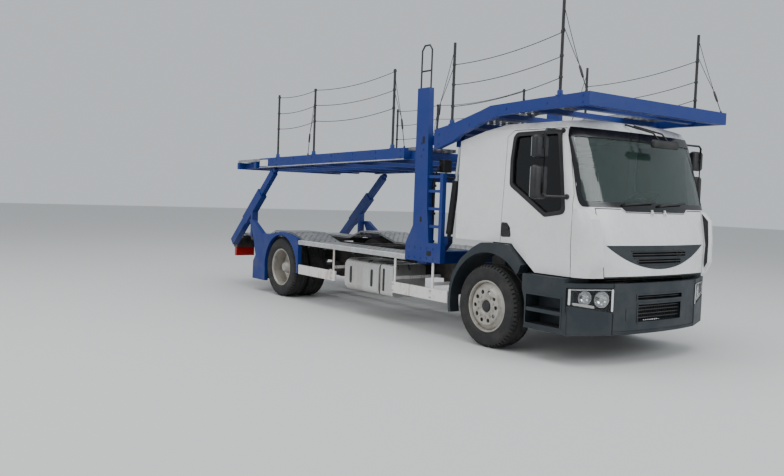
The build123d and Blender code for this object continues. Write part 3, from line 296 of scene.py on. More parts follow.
engine_metal = plain("engine_metal", (0.07, 0.07, 0.068), 0.6, 0.5, 0.15)
# Near black: the bumper's seams and the lamps' trays, and painted shade in the wheels' hand holes, the posts'
# lashing holes and behind the grille and the bumper's slots
dark_parts_and_shade = plain("dark_parts_and_shade", (0.006, 0.006, 0.007), 0.7)
board_plate = plain("bare_plate", (0.70, 0.70, 0.66), 0.4)

finishes = {
    white_paint: ["cab_shell", "door_right", "door_left", "front_flap"],
    blue_paint: ["deck_posts", "rear_supports", "deck_arms", "cab_deck", "main_deck"],
    black_paint: ["chassis_frame", "front_axle", "rear_axle", "chassis_boxes", "tail_frame", "post_hoop",
                  "cab_stakes", "main_stakes", "knuckle_right", "knuckle_left", "lift_barrels", "wipers"],
    galvanised: ["lower_deck", "cab_runways", "main_runways"],
    dark_plastic: ["bumper", "cab_steps", "front_arches", "front_grille", "front_mirror", "mirror_right",
                   "mirror_left"],
    aluminium: ["fuel_tanks"],
    bright_metal: ["lift_rods"],
    boards: ["side_guards"],
    rubber: ["front_tyre_right", "front_tyre_left", "rear_tyres_right", "rear_tyres_left"],
    steel_wheel: ["front_rim_right", "front_rim_left", "rear_rims_right", "rear_rims_left"],
    screen_glass: ["windscreen"],
    door_glass: ["door_glass_right", "door_glass_left"],
    lamp_glass: ["headlamps"],
    red_lens: ["tail_lamps"],
    trim_plastic: ["cab_interior", "steering_wheel"],
    seat_cloth: ["seats"],
    engine_metal: ["driveline"],
}
for material, names in finishes.items():
    for name in names:
        for slot in nodes[name].material_slots:
            slot.material = material


# Mesh helpers
def spread(start, end, count):
    """Even steps from start to end, with both ends."""
    return [start + (end - start) * k / count for k in range(count + 1)]


def rectangle(a0, b0, a1, b1):
    """The corners of a rectangle, from its low corner round to its high one."""
    return [(a0, b0), (a1, b0), (a1, b1), (a0, b1)]


def piece(name, points, faces, material, body, smooth=False, angle=30):
    """A mesh piece in the truck's frame that rides on a body and takes its given finish."""
    mesh = bpy.data.meshes.new(name)
    mesh.from_pydata([tuple(p) for p in points], [], faces)
    return dress(mesh, name, material, body, smooth, angle)


def dress(mesh, name, material, body, smooth=False, angle=30):
    """Cleans a mesh, gives it its finish and puts it on its body, shaded smooth up to an angle."""
    shape = bmesh.new()
    shape.from_mesh(mesh)
    bmesh.ops.remove_doubles(shape, verts=shape.verts, dist=0.00002)
    bmesh.ops.recalc_face_normals(shape, faces=shape.faces)
    if smooth:
        for face in shape.faces:
            face.smooth = True
        for edge in shape.edges:
            if len(edge.link_faces) == 2 and edge.calc_face_angle(0) > radians(angle):
                edge.smooth = False
    shape.to_mesh(mesh)
    shape.free()
    mesh.materials.clear()
    mesh.materials.append(material)
    thing = bpy.data.objects.new(name, mesh)
    bpy.context.scene.collection.objects.link(thing)
    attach(thing, body)
    return thing


class Build:
    """Collects boxes, tubes, rings and plates of one finish into one mesh."""

    def __init__(self):
        self.points = []
        self.faces = []

    def take(self, points, faces):
        start = len(self.points)
        self.points += [Vector(p) for p in points]
        self.faces += [tuple(start + i for i in face) for face in faces]
        return self

    def skin(self, rings, closed=False):
        """A skin over rings of as many points each: joined into a loop, or capped at both ends."""
        count, size = len(rings), len(rings[0])
        faces = []
        for j in range(count if closed else count - 1):
            a, b = j * size, (j + 1) % count * size
            faces += [(a + i, a + (i + 1) % size, b + (i + 1) % size, b + i) for i in range(size)]
        if not closed:
            faces += [tuple(range(size)), tuple((count - 1) * size + i for i in reversed(range(size)))]
        return self.take([p for ring in rings for p in ring], faces)

    def from_bmesh(self, shape):
        shape.verts.ensure_lookup_table()
        shape.verts.index_update()
        self.take([v.co.copy() for v in shape.verts], [[v.index for v in f.verts] for f in shape.faces])
        shape.free()
        return self

    def box(self, low, high, chamfer=0.0, segments=2, profile=0.6):
        """A box between two corners, with its edges chamfered or rounded."""
        shape = bmesh.new()
        bmesh.ops.create_cube(shape, size=1.0)
        for vertex in shape.verts:
            vertex.co = Vector([(a + b) / 2 + v * abs(b - a) for a, b, v in zip(low, high, vertex.co)])
        if chamfer:
            bmesh.ops.bevel(shape, geom=shape.edges[:], offset=chamfer, segments=segments, affect="EDGES",
                            profile=profile)
        return self.from_bmesh(shape)

    def tube(self, path, radius, sides=8):
        """A round tube along straight runs between points."""
        path = [Vector(p) for p in path]
        rings = []
        for i, point in enumerate(path):
            along = (path[min(i + 1, len(path) - 1)] - path[max(i - 1, 0)]).normalized()
            across = along.cross(Vector((0, 0, 1)))
            if across.length < 0.01:
                across = along.cross(Vector((0, 1, 0)))
            across.normalize()
            third = along.cross(across)
            turns = [2 * pi * k / sides for k in range(sides)]
            rings.append([point + radius * (cos(turn) * across + sin(turn) * third) for turn in turns])
        return self.skin(rings)

    def lathe(self, profile, centre, axis, sides=48):
        """A turned ring: profile is (radius, along the axis from centre)."""
        axis = Vector(axis).normalized()
        across = axis.cross(Vector((1, 0, 0)) if abs(axis.x) < 0.9 else Vector((0, 0, 1))).normalized()
        third = axis.cross(across)
        rings = []
        for k in range(sides):
            turn = 2 * pi * k / sides
            out = cos(turn) * across + sin(turn) * third
            rings.append([Vector(centre) + axis * along + out * radius for radius, along in profile])
        return self.skin(rings, closed=True)

    def plate(self, outline, thickness):
        """A flat plate: an outline of points in space, thickened along a vector."""
        outline = [Vector(p) for p in outline]
        return self.skin([outline, [p + Vector(thickness) for p in outline]])

    def mirrored(self):
        """Adds the same again on the truck's other side."""
        count = len(self.points)
        self.points += [Vector((p.x, -p.y, p.z)) for p in self.points]
        self.faces += [tuple(count + i for i in reversed(face)) for face in self.faces]
        return self

    def piece(self, name, material, body, slot, smooth=False, angle=30):
        return piece(name, self.points, self.faces, material, body, smooth, angle)


# Geometry Nodes helpers: trees with named inputs, baked to plain meshes
class Tree:
    """A Geometry Nodes tree under construction, with named inputs."""

    def __init__(self, name, inputs):
        self.group = bpy.data.node_groups.new(name, "GeometryNodeTree")
        face = self.group.interface
        face.new_socket(name="Geometry", in_out="INPUT", socket_type="NodeSocketGeometry")
        for label, kind, value in inputs:
            socket = face.new_socket(name=label, in_out="INPUT", socket_type=kind)
            socket.default_value = value
        face.new_socket(name="Geometry", in_out="OUTPUT", socket_type="NodeSocketGeometry")
        self.start = self.group.nodes.new("NodeGroupInput")
        self.end = self.group.nodes.new("NodeGroupOutput")

    def add(self, kind, **values):
        node = self.group.nodes.new(kind)
        for key, value in values.items():
            setattr(node, key, value)
        return node

    def link(self, source, target):
        self.group.links.new(source, target)

    def close(self, geometry, material):
        realise = self.add("GeometryNodeRealizeInstances")
        finish = self.add("GeometryNodeSetMaterial")
        finish.inputs["Material"].default_value = material
        self.link(geometry, realise.inputs["Geometry"])
        self.link(realise.outputs["Geometry"], finish.inputs["Geometry"])
        self.link(finish.outputs["Geometry"], self.end.inputs["Geometry"])


def bake(carrier, tree, values):
    """Runs a tree on a carrier mesh and returns the result as a plain mesh."""
    thing = bpy.data.objects.new("carrier", carrier)
    bpy.context.scene.collection.objects.link(thing)
    modifier = thing.modifiers.new(tree.group.name, "NODES")
    modifier.node_group = tree.group
    for item in tree.group.interface.items_tree:
        if item.item_type == "SOCKET" and item.in_out == "INPUT" and item.name in values:
            modifier[item.identifier] = values[item.name]
    bpy.context.view_layer.update()
    graph = bpy.context.evaluated_depsgraph_get()
    mesh = bpy.data.meshes.new_from_object(thing.evaluated_get(graph))
    bpy.data.objects.remove(thing)
    return mesh


def points_mesh(places, facings):
    """A mesh of loose points, each with the direction that its instance faces."""
    mesh = bpy.data.meshes.new("places")
    mesh.from_pydata([tuple(p) for p in places], [], [])
    attribute = mesh.attributes.new("facing", "FLOAT_VECTOR", "POINT")
    attribute.data.foreach_set("vector", [c for facing in facings for c in facing])
    return mesh


def bolt_tree(material):
    """Six-sided heads on washers, one at each point, facing the point's own direction."""
    tree = Tree("bolt_heads", [
        ("Head Radius", "NodeSocketFloat", 0.012), ("Head Depth", "NodeSocketFloat", 0.010)])
    head = tree.add("GeometryNodeMeshCylinder")
    head.inputs["Vertices"].default_value = 6
    washer = tree.add("GeometryNodeMeshCylinder")
    washer.inputs["Vertices"].default_value = 12
    washer.inputs["Depth"].default_value = 0.004
    wide = tree.add("ShaderNodeMath", operation="MULTIPLY")
    wide.inputs[1].default_value = 1.45
    tree.link(tree.start.outputs["Head Radius"], head.inputs["Radius"])
    tree.link(tree.start.outputs["Head Depth"], head.inputs["Depth"])
    tree.link(tree.start.outputs["Head Radius"], wide.inputs[0])
    tree.link(wide.outputs["Value"], washer.inputs["Radius"])
    both = tree.add("GeometryNodeJoinGeometry")
    tree.link(head.outputs["Mesh"], both.inputs["Geometry"])
    tree.link(washer.outputs["Mesh"], both.inputs["Geometry"])
    facing = tree.add("GeometryNodeInputNamedAttribute", data_type="FLOAT_VECTOR")
    facing.inputs["Name"].default_value = "facing"
    turn = tree.add("FunctionNodeAlignRotationToVector", axis="Z")
    tree.link(facing.outputs["Attribute"], turn.inputs["Vector"])
    spread = tree.add("GeometryNodeInstanceOnPoints")
    tree.link(tree.start.outputs["Geometry"], spread.inputs["Points"])
    tree.link(both.outputs["Geometry"], spread.inputs["Instance"])
    tree.link(turn.outputs["Rotation"], spread.inputs["Rotation"])
    tree.close(spread.outputs["Instances"], material)
    return tree


zinc_bolts = bolt_tree(zinc_bolt)
blue_bolts = bolt_tree(blue_paint)
steel_bolts = bolt_tree(steel_wheel)


def bolts(name, tree, table, size, material, body):
    """One piece of bolt heads from a table of (place, facing), size being (radius, depth)."""
    mesh = bake(points_mesh([p for p, f in table], [f for p, f in table]), tree,
                {"Head Radius": size[0], "Head Depth": size[1]})
    return dress(mesh, name, material, body)


def plank_tree(material):
    """A perforated plank: cells with two staggered oval holes, repeated in a grid and welded."""
    tree = Tree("perforated_plank", [
        ("Length", "NodeSocketFloat", 1.0), ("Width", "NodeSocketFloat", 0.6),
        ("Cells Along", "NodeSocketInt", 10), ("Cells Across", "NodeSocketInt", 6),
        ("Hole Length", "NodeSocketFloat", 0.04), ("Hole Width", "NodeSocketFloat", 0.03)])
    start = tree.start.outputs

    def maths(kind, first, second):
        node = tree.add("ShaderNodeMath", operation=kind)
        for value, socket in zip((first, second), node.inputs):
            if isinstance(value, float):
                socket.default_value = value
            else:
                tree.link(value, socket)
        return node.outputs["Value"]

    pitch_x = maths("DIVIDE", start["Length"], start["Cells Along"])
    pitch_y = maths("DIVIDE", start["Width"], start["Cells Across"])
    cell = tree.add("GeometryNodeCurvePrimitiveQuadrilateral")
    tree.link(pitch_x, cell.inputs["Width"])
    tree.link(pitch_y, cell.inputs["Height"])
    size = tree.add("ShaderNodeCombineXYZ")
    tree.link(start["Hole Length"], size.inputs["X"])
    tree.link(start["Hole Width"], size.inputs["Y"])
    size.inputs["Z"].default_value = 1.0
    rims = tree.add("GeometryNodeJoinGeometry")
    tree.link(cell.outputs["Curve"], rims.inputs["Geometry"])
    for share in (-0.25, 0.25):
        hole = tree.add("GeometryNodeCurvePrimitiveCircle")
        hole.inputs["Resolution"].default_value = 8
        hole.inputs["Radius"].default_value = 0.5
        shift = tree.add("ShaderNodeCombineXYZ")
        tree.link(maths("MULTIPLY", pitch_x, share), shift.inputs["X"])
        tree.link(maths("MULTIPLY", pitch_y, share), shift.inputs["Y"])
        oval = tree.add("GeometryNodeTransform")
        tree.link(hole.outputs["Curve"], oval.inputs["Geometry"])
        tree.link(shift.outputs["Vector"], oval.inputs["Translation"])
        tree.link(size.outputs["Vector"], oval.inputs["Scale"])
        tree.link(oval.outputs["Geometry"], rims.inputs["Geometry"])
    fill = tree.add("GeometryNodeFillCurve")
    tree.link(rims.outputs["Geometry"], fill.inputs["Curve"])
    grid = tree.add("GeometryNodeMeshGrid")
    tree.link(maths("SUBTRACT", start["Length"], pitch_x), grid.inputs["Size X"])
    tree.link(maths("SUBTRACT", start["Width"], pitch_y), grid.inputs["Size Y"])
    tree.link(start["Cells Along"], grid.inputs["Vertices X"])
    tree.link(start["Cells Across"], grid.inputs["Vertices Y"])
    spread = tree.add("GeometryNodeInstanceOnPoints")
    tree.link(grid.outputs["Mesh"], spread.inputs["Points"])
    tree.link(fill.outputs["Mesh"], spread.inputs["Instance"])
    real = tree.add("GeometryNodeRealizeInstances")
    tree.link(spread.outputs["Instances"], real.inputs["Geometry"])
    weld = tree.add("GeometryNodeMergeByDistance")
    weld.inputs["Distance"].default_value = 0.0002
    tree.link(real.outputs["Geometry"], weld.inputs["Geometry"])
    tree.close(weld.outputs["Geometry"], material)
    return tree


planks = plank_tree(galvanised)
sheet = 0.005
fold = 0.008
plank_cell = (0.115, 0.105)
plank_hole = (0.042, 0.030)


def plank(length, width):
    """A perforated sheet with thickness, centred under the origin."""
    mesh = bake(bpy.data.meshes.new("seed"), planks, {
        "Length": length, "Width": width, "Cells Along": max(2, round(length / plank_cell[0])),
        "Cells Across": round(width / plank_cell[1]), "Hole Length": plank_hole[0],
        "Hole Width": plank_hole[1]})
    shape = bmesh.new()
    shape.from_mesh(mesh)
    bmesh.ops.remove_doubles(shape, verts=shape.verts, dist=0.0002)
    top = bmesh.ops.extrude_face_region(shape, geom=shape.faces[:])
    for vertex in [v for v in top["geom"] if isinstance(v, bmesh.types.BMVert)]:
        vertex.co.z -= sheet
    bmesh.ops.recalc_face_normals(shape, faces=shape.faces)
    return Build().from_bmesh(shape)


def runway(name, line, track, depth, body, replaced, narrow=None):
    """Two perforated channels along an (x, z) line of their top sheets, with folded edges and ribs below.

    Behind narrow's x, their outer edges stand at narrow's y."""
    rib_pitch, rib_half, rib_inset = 0.6, 0.012, 0.004
    build = Build()
    for (x0, z0), (x1, z1) in zip(line, line[1:]):
        low_y, high_y = track
        if narrow and x0 < front_axle + narrow[0]:
            high_y = narrow[1]
        length = hypot(x1 - x0, z1 - z0)
        top = plank(length, high_y - low_y)
        turn = Matrix.Rotation(-atan2(z1 - z0, x1 - x0), 4, "Y")
        shift = Matrix.Translation(((x0 + x1) / 2, (low_y + high_y) / 2, (z0 + z1) / 2))
        build.take([shift @ turn @ p for p in top.points], top.faces)
        for y in (low_y, high_y - fold):
            build.plate([(x0, y, z0 - depth), (x1, y, z1 - depth), (x1, y, z1), (x0, y, z0)], (0, fold, 0))
        ribs = max(1, round(length / rib_pitch))
        for k in range(ribs):
            share = (k + 0.5) / ribs
            x, z = x0 + (x1 - x0) * share, z0 + (z1 - z0) * share
            build.box((x - rib_half, low_y + rib_inset, z - depth),
                      (x + rib_half, high_y - rib_inset, z - sheet), 0.002)
    build.mirrored()
    thing = build.piece(name, galvanised, body, "galvanised")
    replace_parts(thing, replaced)


# Runways: the tops follow the CAD's lines
def ahead_of_axle(table):
    """Puts a table of (x from the front axle, rest) into the frame."""
    return [(front_axle + x, *rest) for x, *rest in table]


def main_deck_z(x):
    """Height of the main deck's reference line, x from the front axle."""
    return 2.24 + (x + 1.46) * tan(radians(1.2))


main_top = [(front_axle + x, main_deck_z(x) + 0.1153) for x in (-6.8, -1.52)]
cab_top = ahead_of_axle([(-1.0, 2.545), (-0.69, 2.617), (-0.05, 2.778), (1.265, 2.812)])
lower_top = ahead_of_axle([(-6.75, 0.93), (-5.5, 0.93), (-5.15, 1.06), (-4.6, 1.06), (-4.12, 0.93),
                           (-1.6, 0.93)])
runway("main_runway_planks", main_top, deck_track, 0.045, "main_deck", "main_runways")
runway("cab_runway_planks", cab_top, deck_track, 0.045, "over_cab_deck", "cab_runways")
runway("lower_deck_planks", lower_top, lower_track, 0.029, "chassis", "lower_deck", (-5.75, 1.075))


# The cab's outer surface, by the same sections as the solid: height, front at the middle, start of the round
front_radius = 5.7
sections = [(0.8, 1.450, 0.985), (1.27, 1.445, 0.985), (1.5, 1.395, 0.980), (1.68, 1.352, 0.970),
            (2.4, 1.104, 1.035), (2.5, 1.070, 1.005), (2.58, 1.010, 0.980), (2.68, 0.880, 0.950)]
shoulder_z, brow_z, roof_z = 1.5, 2.4, 2.5
shoulder_lean, brow_lean = 0.028, 0.032


def cab_half_at(z):
    """Half the cab's width at a height: it leans in above the shoulder, and more above the brow."""
    if z <= shoulder_z:
        return cab_half
    if z <= brow_z:
        return cab_half - shoulder_lean * (z - shoulder_z) / (brow_z - shoulder_z)
    return cab_half - shoulder_lean - brow_lean * (z - brow_z) / (roof_z - brow_z)


def around(z):
    """The sections below and above a height, and the height's share of the way between them."""
    k = max(i for i, section in enumerate(sections[:-1]) if i == 0 or section[0] <= z)
    return sections[k], sections[k + 1], (z - sections[k][0]) / (sections[k + 1][0] - sections[k][0])


def section_point(section, t, lift):
    """A point of one plan section: t to 1 on the front's arc, to 2 round the corner, then along the side."""
    z, middle, start = section
    turn = asin(start / front_radius)
    arc_x = front_axle + middle - front_radius
    corner = (cab_half_at(z) - start) / (1 - sin(turn))
    corner_x = arc_x + (front_radius - corner) * cos(turn)
    corner_y = cab_half_at(z) - corner
    if t <= 1:
        return Vector((arc_x + (front_radius + lift) * cos(turn * t), (front_radius + lift) * sin(turn * t)))
    if t <= 2:
        angle = turn + (pi / 2 - turn) * (t - 1)
        return Vector((corner_x + (corner + lift) * cos(angle), corner_y + (corner + lift) * sin(angle)))
    return Vector((corner_x - (t - 2), cab_half_at(z) + lift))


def cab_at(t, z, lift=0.0):
    """The cab's surface at a height, between the two sections around it."""
    below, above, share = around(z)
    point = section_point(below, t, lift).lerp(section_point(above, t, lift), share)
    return Vector((point.x, point.y, z))


def solve(test):
    """Finds t between the cab's middle and well back on its side, where test turns true."""
    low, high = 0.0, 4.0
    for _ in range(40):
        middle = (low + high) / 2
        low, high = (low, middle) if test(middle) else (middle, high)
    return low


def on_front(y, z, lift=0.0):
    """The cab's surface at a y and a height."""
    point = cab_at(solve(lambda t: cab_at(t, z).y >= abs(y)), z, lift)
    return Vector((point.x, point.y if y >= 0 else -point.y, z))


def on_side(x, z, lift=0.0, side=-1):
    """The cab's surface at an x from the front axle and a height."""
    point = cab_at(solve(lambda t: cab_at(t, z).x <= front_axle + x), z, lift)
    return Vector((point.x, side * point.y, z))


# Outlines on a surface
def bend(start, pull, end, share):
    """A point of the curve from start to end that heads for pull."""
    return start.lerp(pull, share).lerp(pull.lerp(end, share), share)


def contour(corners, radius, steps=5, runs=8):
    """Rounds the corners of an outline and divides its runs, always into the same number of points."""
    points = []
    count = len(corners)
    for i, corner in enumerate(corners):
        here, before, after = Vector(corner), Vector(corners[i - 1]), Vector(corners[(i + 1) % count])
        back, on = (before - here).normalized(), (after - here).normalized()
        half_angle = max(0.05, back.angle(on) / 2)
        longest = 0.45 * min((before - here).length, (after - here).length)
        reach = min(radius / abs(tan(half_angle)), longest)
        points += [bend(here + back * reach, here, here + on * reach, share) for share in spread(0, 1, steps)]
    arcs = steps + 1
    whole = []
    for i in range(count):
        whole += points[i * arcs:(i + 1) * arcs]
        start, end = points[(i + 1) * arcs - 1], points[((i + 1) % count) * arcs]
        whole += [start.lerp(end, k / runs) for k in range(1, runs)]
    return whole


def grown(corners, amount):
    """Moves each run of an outline outwards."""
    points = [Vector(c) for c in corners]
    area = sum(a.cross(b) for a, b in zip(points, points[1:] + points[:1]))
    sign = 1 if area > 0 else -1
    result = []
    for i, here in enumerate(points):
        into = (here - points[i - 1]).normalized()
        out = (points[(i + 1) % len(points)] - here).normalized()
        first = Vector((into.y, -into.x)) * sign
        second = Vector((out.y, -out.x)) * sign
        middle = (first + second).normalized()
        result.append(here + middle * amount / max(0.3, middle.dot(first)))
    return result


def band(build, outer, inner, place, lift, sink, rows=3):
    """A closed strip between two contours, laid on a surface by place(a, b, lift)."""
    def level(share, height):
        return [place(*a.lerp(b, share), height) for a, b in zip(inner, outer)]

    shares = [j / rows for j in range(rows + 1)]
    top = [level(share, lift) for share in shares]
    bottom = [level(share, sink) for share in reversed(shares)]
    build.skin(top + bottom, closed=True)


def patch(build, outline, place, lift, sink, rows=6):
    """A closed thin plate over a whole contour, laid on a surface."""
    middle = sum(outline, Vector((0, 0))) / len(outline)
    band(build, outline, [middle.lerp(p, 0.004) for p in outline], place, lift, sink, rows)


# The cab's corners: the solids' plan has a slanting corner there, and the real one is round
def solid_front(y, z):
    """The solid cab's front at a y and a height, from the front axle: an arc, a slant and a small round."""
    slant_end_y, slant_x, slant = 1.058, 1.207, 0.7523
    round_x, round_radius = 1.0823, 0.25
    below, above, share = around(z)
    middle = below[1] + (above[1] - below[1]) * share
    arc = middle - front_radius + sqrt(front_radius ** 2 - y * y)
    if y < slant_end_y:
        return min(arc, slant_x + (cab_half - y) * slant)
    rest = round_radius ** 2 - (y - (cab_half - round_radius)) ** 2
    return min(arc, round_x + sqrt(max(0.0, rest)))


def spaced(line, stops, counts):
    """Points at even steps along a line, between the places where each stop's test turns true."""
    lengths = [0.0]
    for a, b in zip(line, line[1:]):
        lengths.append(lengths[-1] + (b - a).length)
    marks = [lengths[next((i for i, p in enumerate(line) if stop(p)), len(line) - 1)] for stop in stops]
    points = []
    for first, last, count in zip(marks, marks[1:], counts):
        for reach in spread(first, last, count):
            i = max(j for j in range(len(line) - 1) if lengths[j] <= reach + 1e-9)
            share = (reach - lengths[i]) / max(1e-9, lengths[i + 1] - lengths[i])
            points.append(line[i].lerp(line[i + 1], min(1.0, share)))
    return points


still_y, side_end_x = 0.63, 0.8


def windscreen_edge(z):
    """The y of the windscreen's side at a height."""
    low_y, high_y, low_z, slant = 1.09, 1.02, 1.69, 0.0897
    return min(low_y, max(high_y, low_y - slant * (z - low_z)))


def door_edge(z):
    """The x of the door's front edge at a height, from the front axle."""
    waist_z, slant = 1.81, 0.2132
    return 1.152 if z < waist_z else 1.13 - slant * (z - waist_z)


def corner_table(z):
    """Pairs of points at a height, on the solid's plan and on the rounded one, between the same stops."""
    half, windscreen_y, door_x = cab_half_at(z), windscreen_edge(z), door_edge(z)
    old = [Vector((solid_front(y, z), y)) for y in spread(0.6, half, 150)]
    round_line = [cab_at(t, z) for t in spread(0.55, 1.0, 60) + spread(1.0, 2.0, 100)[1:]]
    new = [Vector((p.x - front_axle, p.y)) for p in round_line]
    for line in (old, new):
        line += [Vector((x, half)) for x in spread(line[-1].x, side_end_x, 60)[1:]]
    stops = [lambda p: p.y >= still_y, lambda p: p.y >= 0.94, lambda p: p.y >= windscreen_y,
             lambda p: p.y > 0.95 and p.x <= door_x, lambda p: p.x <= side_end_x + 0.001]
    counts = (4, 8, 8, 10)
    return list(zip(spaced(old, stops, counts), spaced(new, stops, counts)))


corner_tables = {}


def corner_move(x, y, z):
    """How far a point of the cab moves to follow the rounded corner.

    It moves fully up to full_gap off the solid's plan, and not at all beyond no_gap."""
    full_gap, no_gap = 0.07, 0.16
    z = min(2.66, max(0.81, round(z / 0.01) * 0.01))
    if z not in corner_tables:
        corner_tables[z] = corner_table(z)
    table = corner_tables[z]
    here = Vector((x - front_axle, abs(y)))
    found = []
    for (a, first), (b, second) in zip(table, table[1:]):
        run = b - a
        share = min(1.0, max(0.0, (here - a).dot(run) / max(1e-9, run.length_squared)))
        found.append(((here - a - run * share).length, (first - a).lerp(second - b, share)))
    gap, move = min(found, key=lambda pair: pair[0])
    move = move * min(1.0, max(0.0, (no_gap - gap) / (no_gap - full_gap)))
    return Vector((move.x, move.y if y >= 0 else -move.y, 0))


def rounded_copy(node, name, body, material):
    """A copy of a cab node's mesh, cut finely at the corners and moved onto the rounded form."""
    mesh = nodes[node].data.copy()
    mesh.name = name
    shape = bmesh.new()
    shape.from_mesh(mesh)
    bmesh.ops.remove_doubles(shape, verts=shape.verts, dist=0.00005)
    fan_x, fan_y = front_axle + 0.72, 0.68
    levels = (1.05, 1.27, 1.5, 1.62, 1.68, 1.8, 1.95, 2.1, 2.25, 2.4, 2.5)
    cuts = [((fan_x, side * fan_y, 0), (-sin(radians(a)), side * cos(radians(a)), 0))
            for side in (-1, 1) for a in range(-4, 92, 6)]
    cuts += [((0, 0, z), (0, 0, 1)) for z in levels]
    for place, normal in cuts:
        bmesh.ops.bisect_plane(shape, geom=shape.verts[:] + shape.edges[:] + shape.faces[:], plane_co=place,
                               plane_no=normal, dist=0.0001)
    for vertex in shape.verts:
        co = vertex.co
        if abs(co.y) > still_y and co.x > front_axle + 0.7:
            co += corner_move(co.x, co.y, co.z)
    shape.to_mesh(mesh)
    shape.free()
    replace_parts(dress(mesh, name, material, body, True, 24), node)


def cab_skins():
    """The shell, windscreen, flap, doors and their glass, each in place of its node."""
    rounded_copy("cab_shell", "cab_skin", "chassis", white_paint)
    rounded_copy("windscreen", "windscreen_pane", "chassis", screen_glass)
    rounded_copy("front_flap", "flap_skin", "front_flap", white_paint)
    for name in ("right", "left"):
        rounded_copy(f"door_{name}", f"door_skin_{name}", f"door_{name}", white_paint)
    for name in ("right", "left"):
        rounded_copy(f"door_glass_{name}", f"door_pane_{name}", f"door_{name}", door_glass)


# Windscreen: black border with rounded corners, and the black cowl that the wipers stand on
def trapezium(half_low, z_low, half_high, z_high):
    """The corners of an even-sided outline about the truck's middle."""
    return [(-half_low, z_low), (half_low, z_low), (half_high, z_high), (-half_high, z_high)]


def on_girth(t, z, lift):
    """The cab's surface at a height, by its way round from the middle."""
    point = cab_at(abs(t), z, lift)
    return Vector((point.x, point.y if t >= 0 else -point.y, z))


def windscreen_border():
    low = solve(lambda t: cab_at(t, 1.69).y >= 1.09)
    high = solve(lambda t: cab_at(t, 2.47).y >= 1.02)
    outer = contour(trapezium(low + 0.14, 1.664, high + 0.30, 2.503), 0.16, steps=8, runs=26)
    inner = contour(trapezium(low - 0.04, 1.722, high - 0.04, 2.405), 0.10, steps=8, runs=26)
    cowl = contour(trapezium(0.60, 1.672, 0.528, 1.626), 0.01, steps=3, runs=14)
    border = Build()
    band(border, outer, inner, on_girth, lift=0.004, sink=-0.004, rows=5)
    patch(border, cowl, on_front, lift=0.005, sink=-0.006, rows=3)
    border.piece("windscreen_border", frit_black, "chassis", "black_steel", True)


# Doors and flap: window rubbers, handle pockets and the rubbers in the seams
door_line = [(0.215, 2.490), (0.140, 2.420), (0.110, 1.224), (0.300, 1.224), (0.342, 1.184), (0.664, 0.934),
             (1.155, 0.934), (1.150, 1.110), (1.130, 1.810), (0.985, 2.490)]
window_line = [(0.262, 2.440), (0.905, 2.450), (1.030, 1.600), (0.770, 1.560), (0.490, 1.730), (0.240, 1.880),
               (0.230, 2.150)]
pocket_line = [(0.122, 1.285), (0.122, 1.452), (0.215, 1.450), (0.262, 1.400), (0.285, 1.290)]
handle_line = [(0.135, 1.375), (0.135, 1.420), (0.245, 1.415), (0.255, 1.375)]
flap_line = [(-0.8845, 0.932), (0.8845, 0.932), (0.9575, 1.650), (0.598, 1.650), (0.528, 1.615),
             (-0.528, 1.615), (-0.598, 1.650), (-0.9575, 1.650)]


def seam(build, line, place, out, into, radius):
    """A sunk rubber along an outline, reaching out and in from it."""
    outer = contour(grown(line, out), radius, steps=3, runs=14)
    inner = contour(grown(line, -into), 0.006, steps=3, runs=14)
    band(build, outer, inner, place, lift=-0.007, sink=-0.020, rows=1)


def doors_and_seams():
    """A rubber round each door's glass, a handle in its pocket, and one piece of seam rubbers."""
    seals = Build()
    for name, side in both_sides:
        beside = partial(on_side, side=side)
        outer = contour(grown(window_line, 0.024), 0.075, steps=6)
        inner = contour(grown(window_line, -0.022), 0.05, steps=6)
        surround = Build()
        band(surround, outer, inner, beside, lift=0.004, sink=-0.020)
        surround.piece(f"window_rubber_{name}", seal_rubber, f"door_{name}", "black_steel", True)
        seam(seals, door_line, beside, out=0.0005, into=0.0085, radius=0.012)
        pocket = Build()
        patch(pocket, contour(pocket_line, 0.03), beside, lift=0.0025, sink=-0.004, rows=3)
        patch(pocket, contour(handle_line, 0.018), beside, lift=0.016, sink=0.002, rows=3)
        pocket.piece(f"handle_pocket_{name}", black_plastic_and_slot_shade, f"door_{name}", "black_steel", True)
    seam(seals, flap_line, on_front, out=0.005, into=0.005, radius=0.008)
    seals.piece("seam_seals", seal_rubber, "chassis", "black_steel")


# Corner fins: a bulged white skin between the cab's side and a swept edge, with black plates on its inner
# face as painted shade in the slot behind the edge
def corner_fins():
    edges = ahead_of_axle([(1.352, 0.985, 0.93), (1.436, 0.965, 1.06), (1.426, 0.985, 1.30),
                           (1.388, 1.015, 1.54), (1.292, 1.012, 1.64)])
    start = Vector((front_axle + 1.167, cab_half - 0.001))
    bulge = 0.22
    rings = []
    for x, y, z in edges:
        edge = Vector((x, y))
        middle = (start + edge) / 2
        pull = middle + 2 * bulge * Vector((start.y - y, x - start.x))
        arc = [bend(start, pull, edge, share) for share in spread(0, 1, 12)]
        back = [edge + Vector((-0.022, -0.022)), edge + Vector((-0.11, -0.02)),
                Vector((start.x, cab_half - 0.09))]
        rings.append([Vector((p.x, p.y, z)) for p in arc + back])
    Build().skin(rings).mirrored().piece("corner_fins", white_paint, "chassis", "white_paint", True)
    # Black plates on each fin's inner face: painted shade in the slot behind its edge
    faces = Build()
    for (x0, y0, z0), (x1, y1, z1) in zip(edges, edges[1:]):
        faces.plate([(x0 - 0.024, y0 - 0.0245, z0), (x1 - 0.024, y1 - 0.0245, z1),
                     (x1 - 0.12, y1 - 0.0225, z1), (x0 - 0.12, y0 - 0.0225, z0)], (0, 0.004, 0))
    faces.mirrored().piece("fin_slot_shade", black_plastic_and_slot_shade, "chassis", "black_steel")
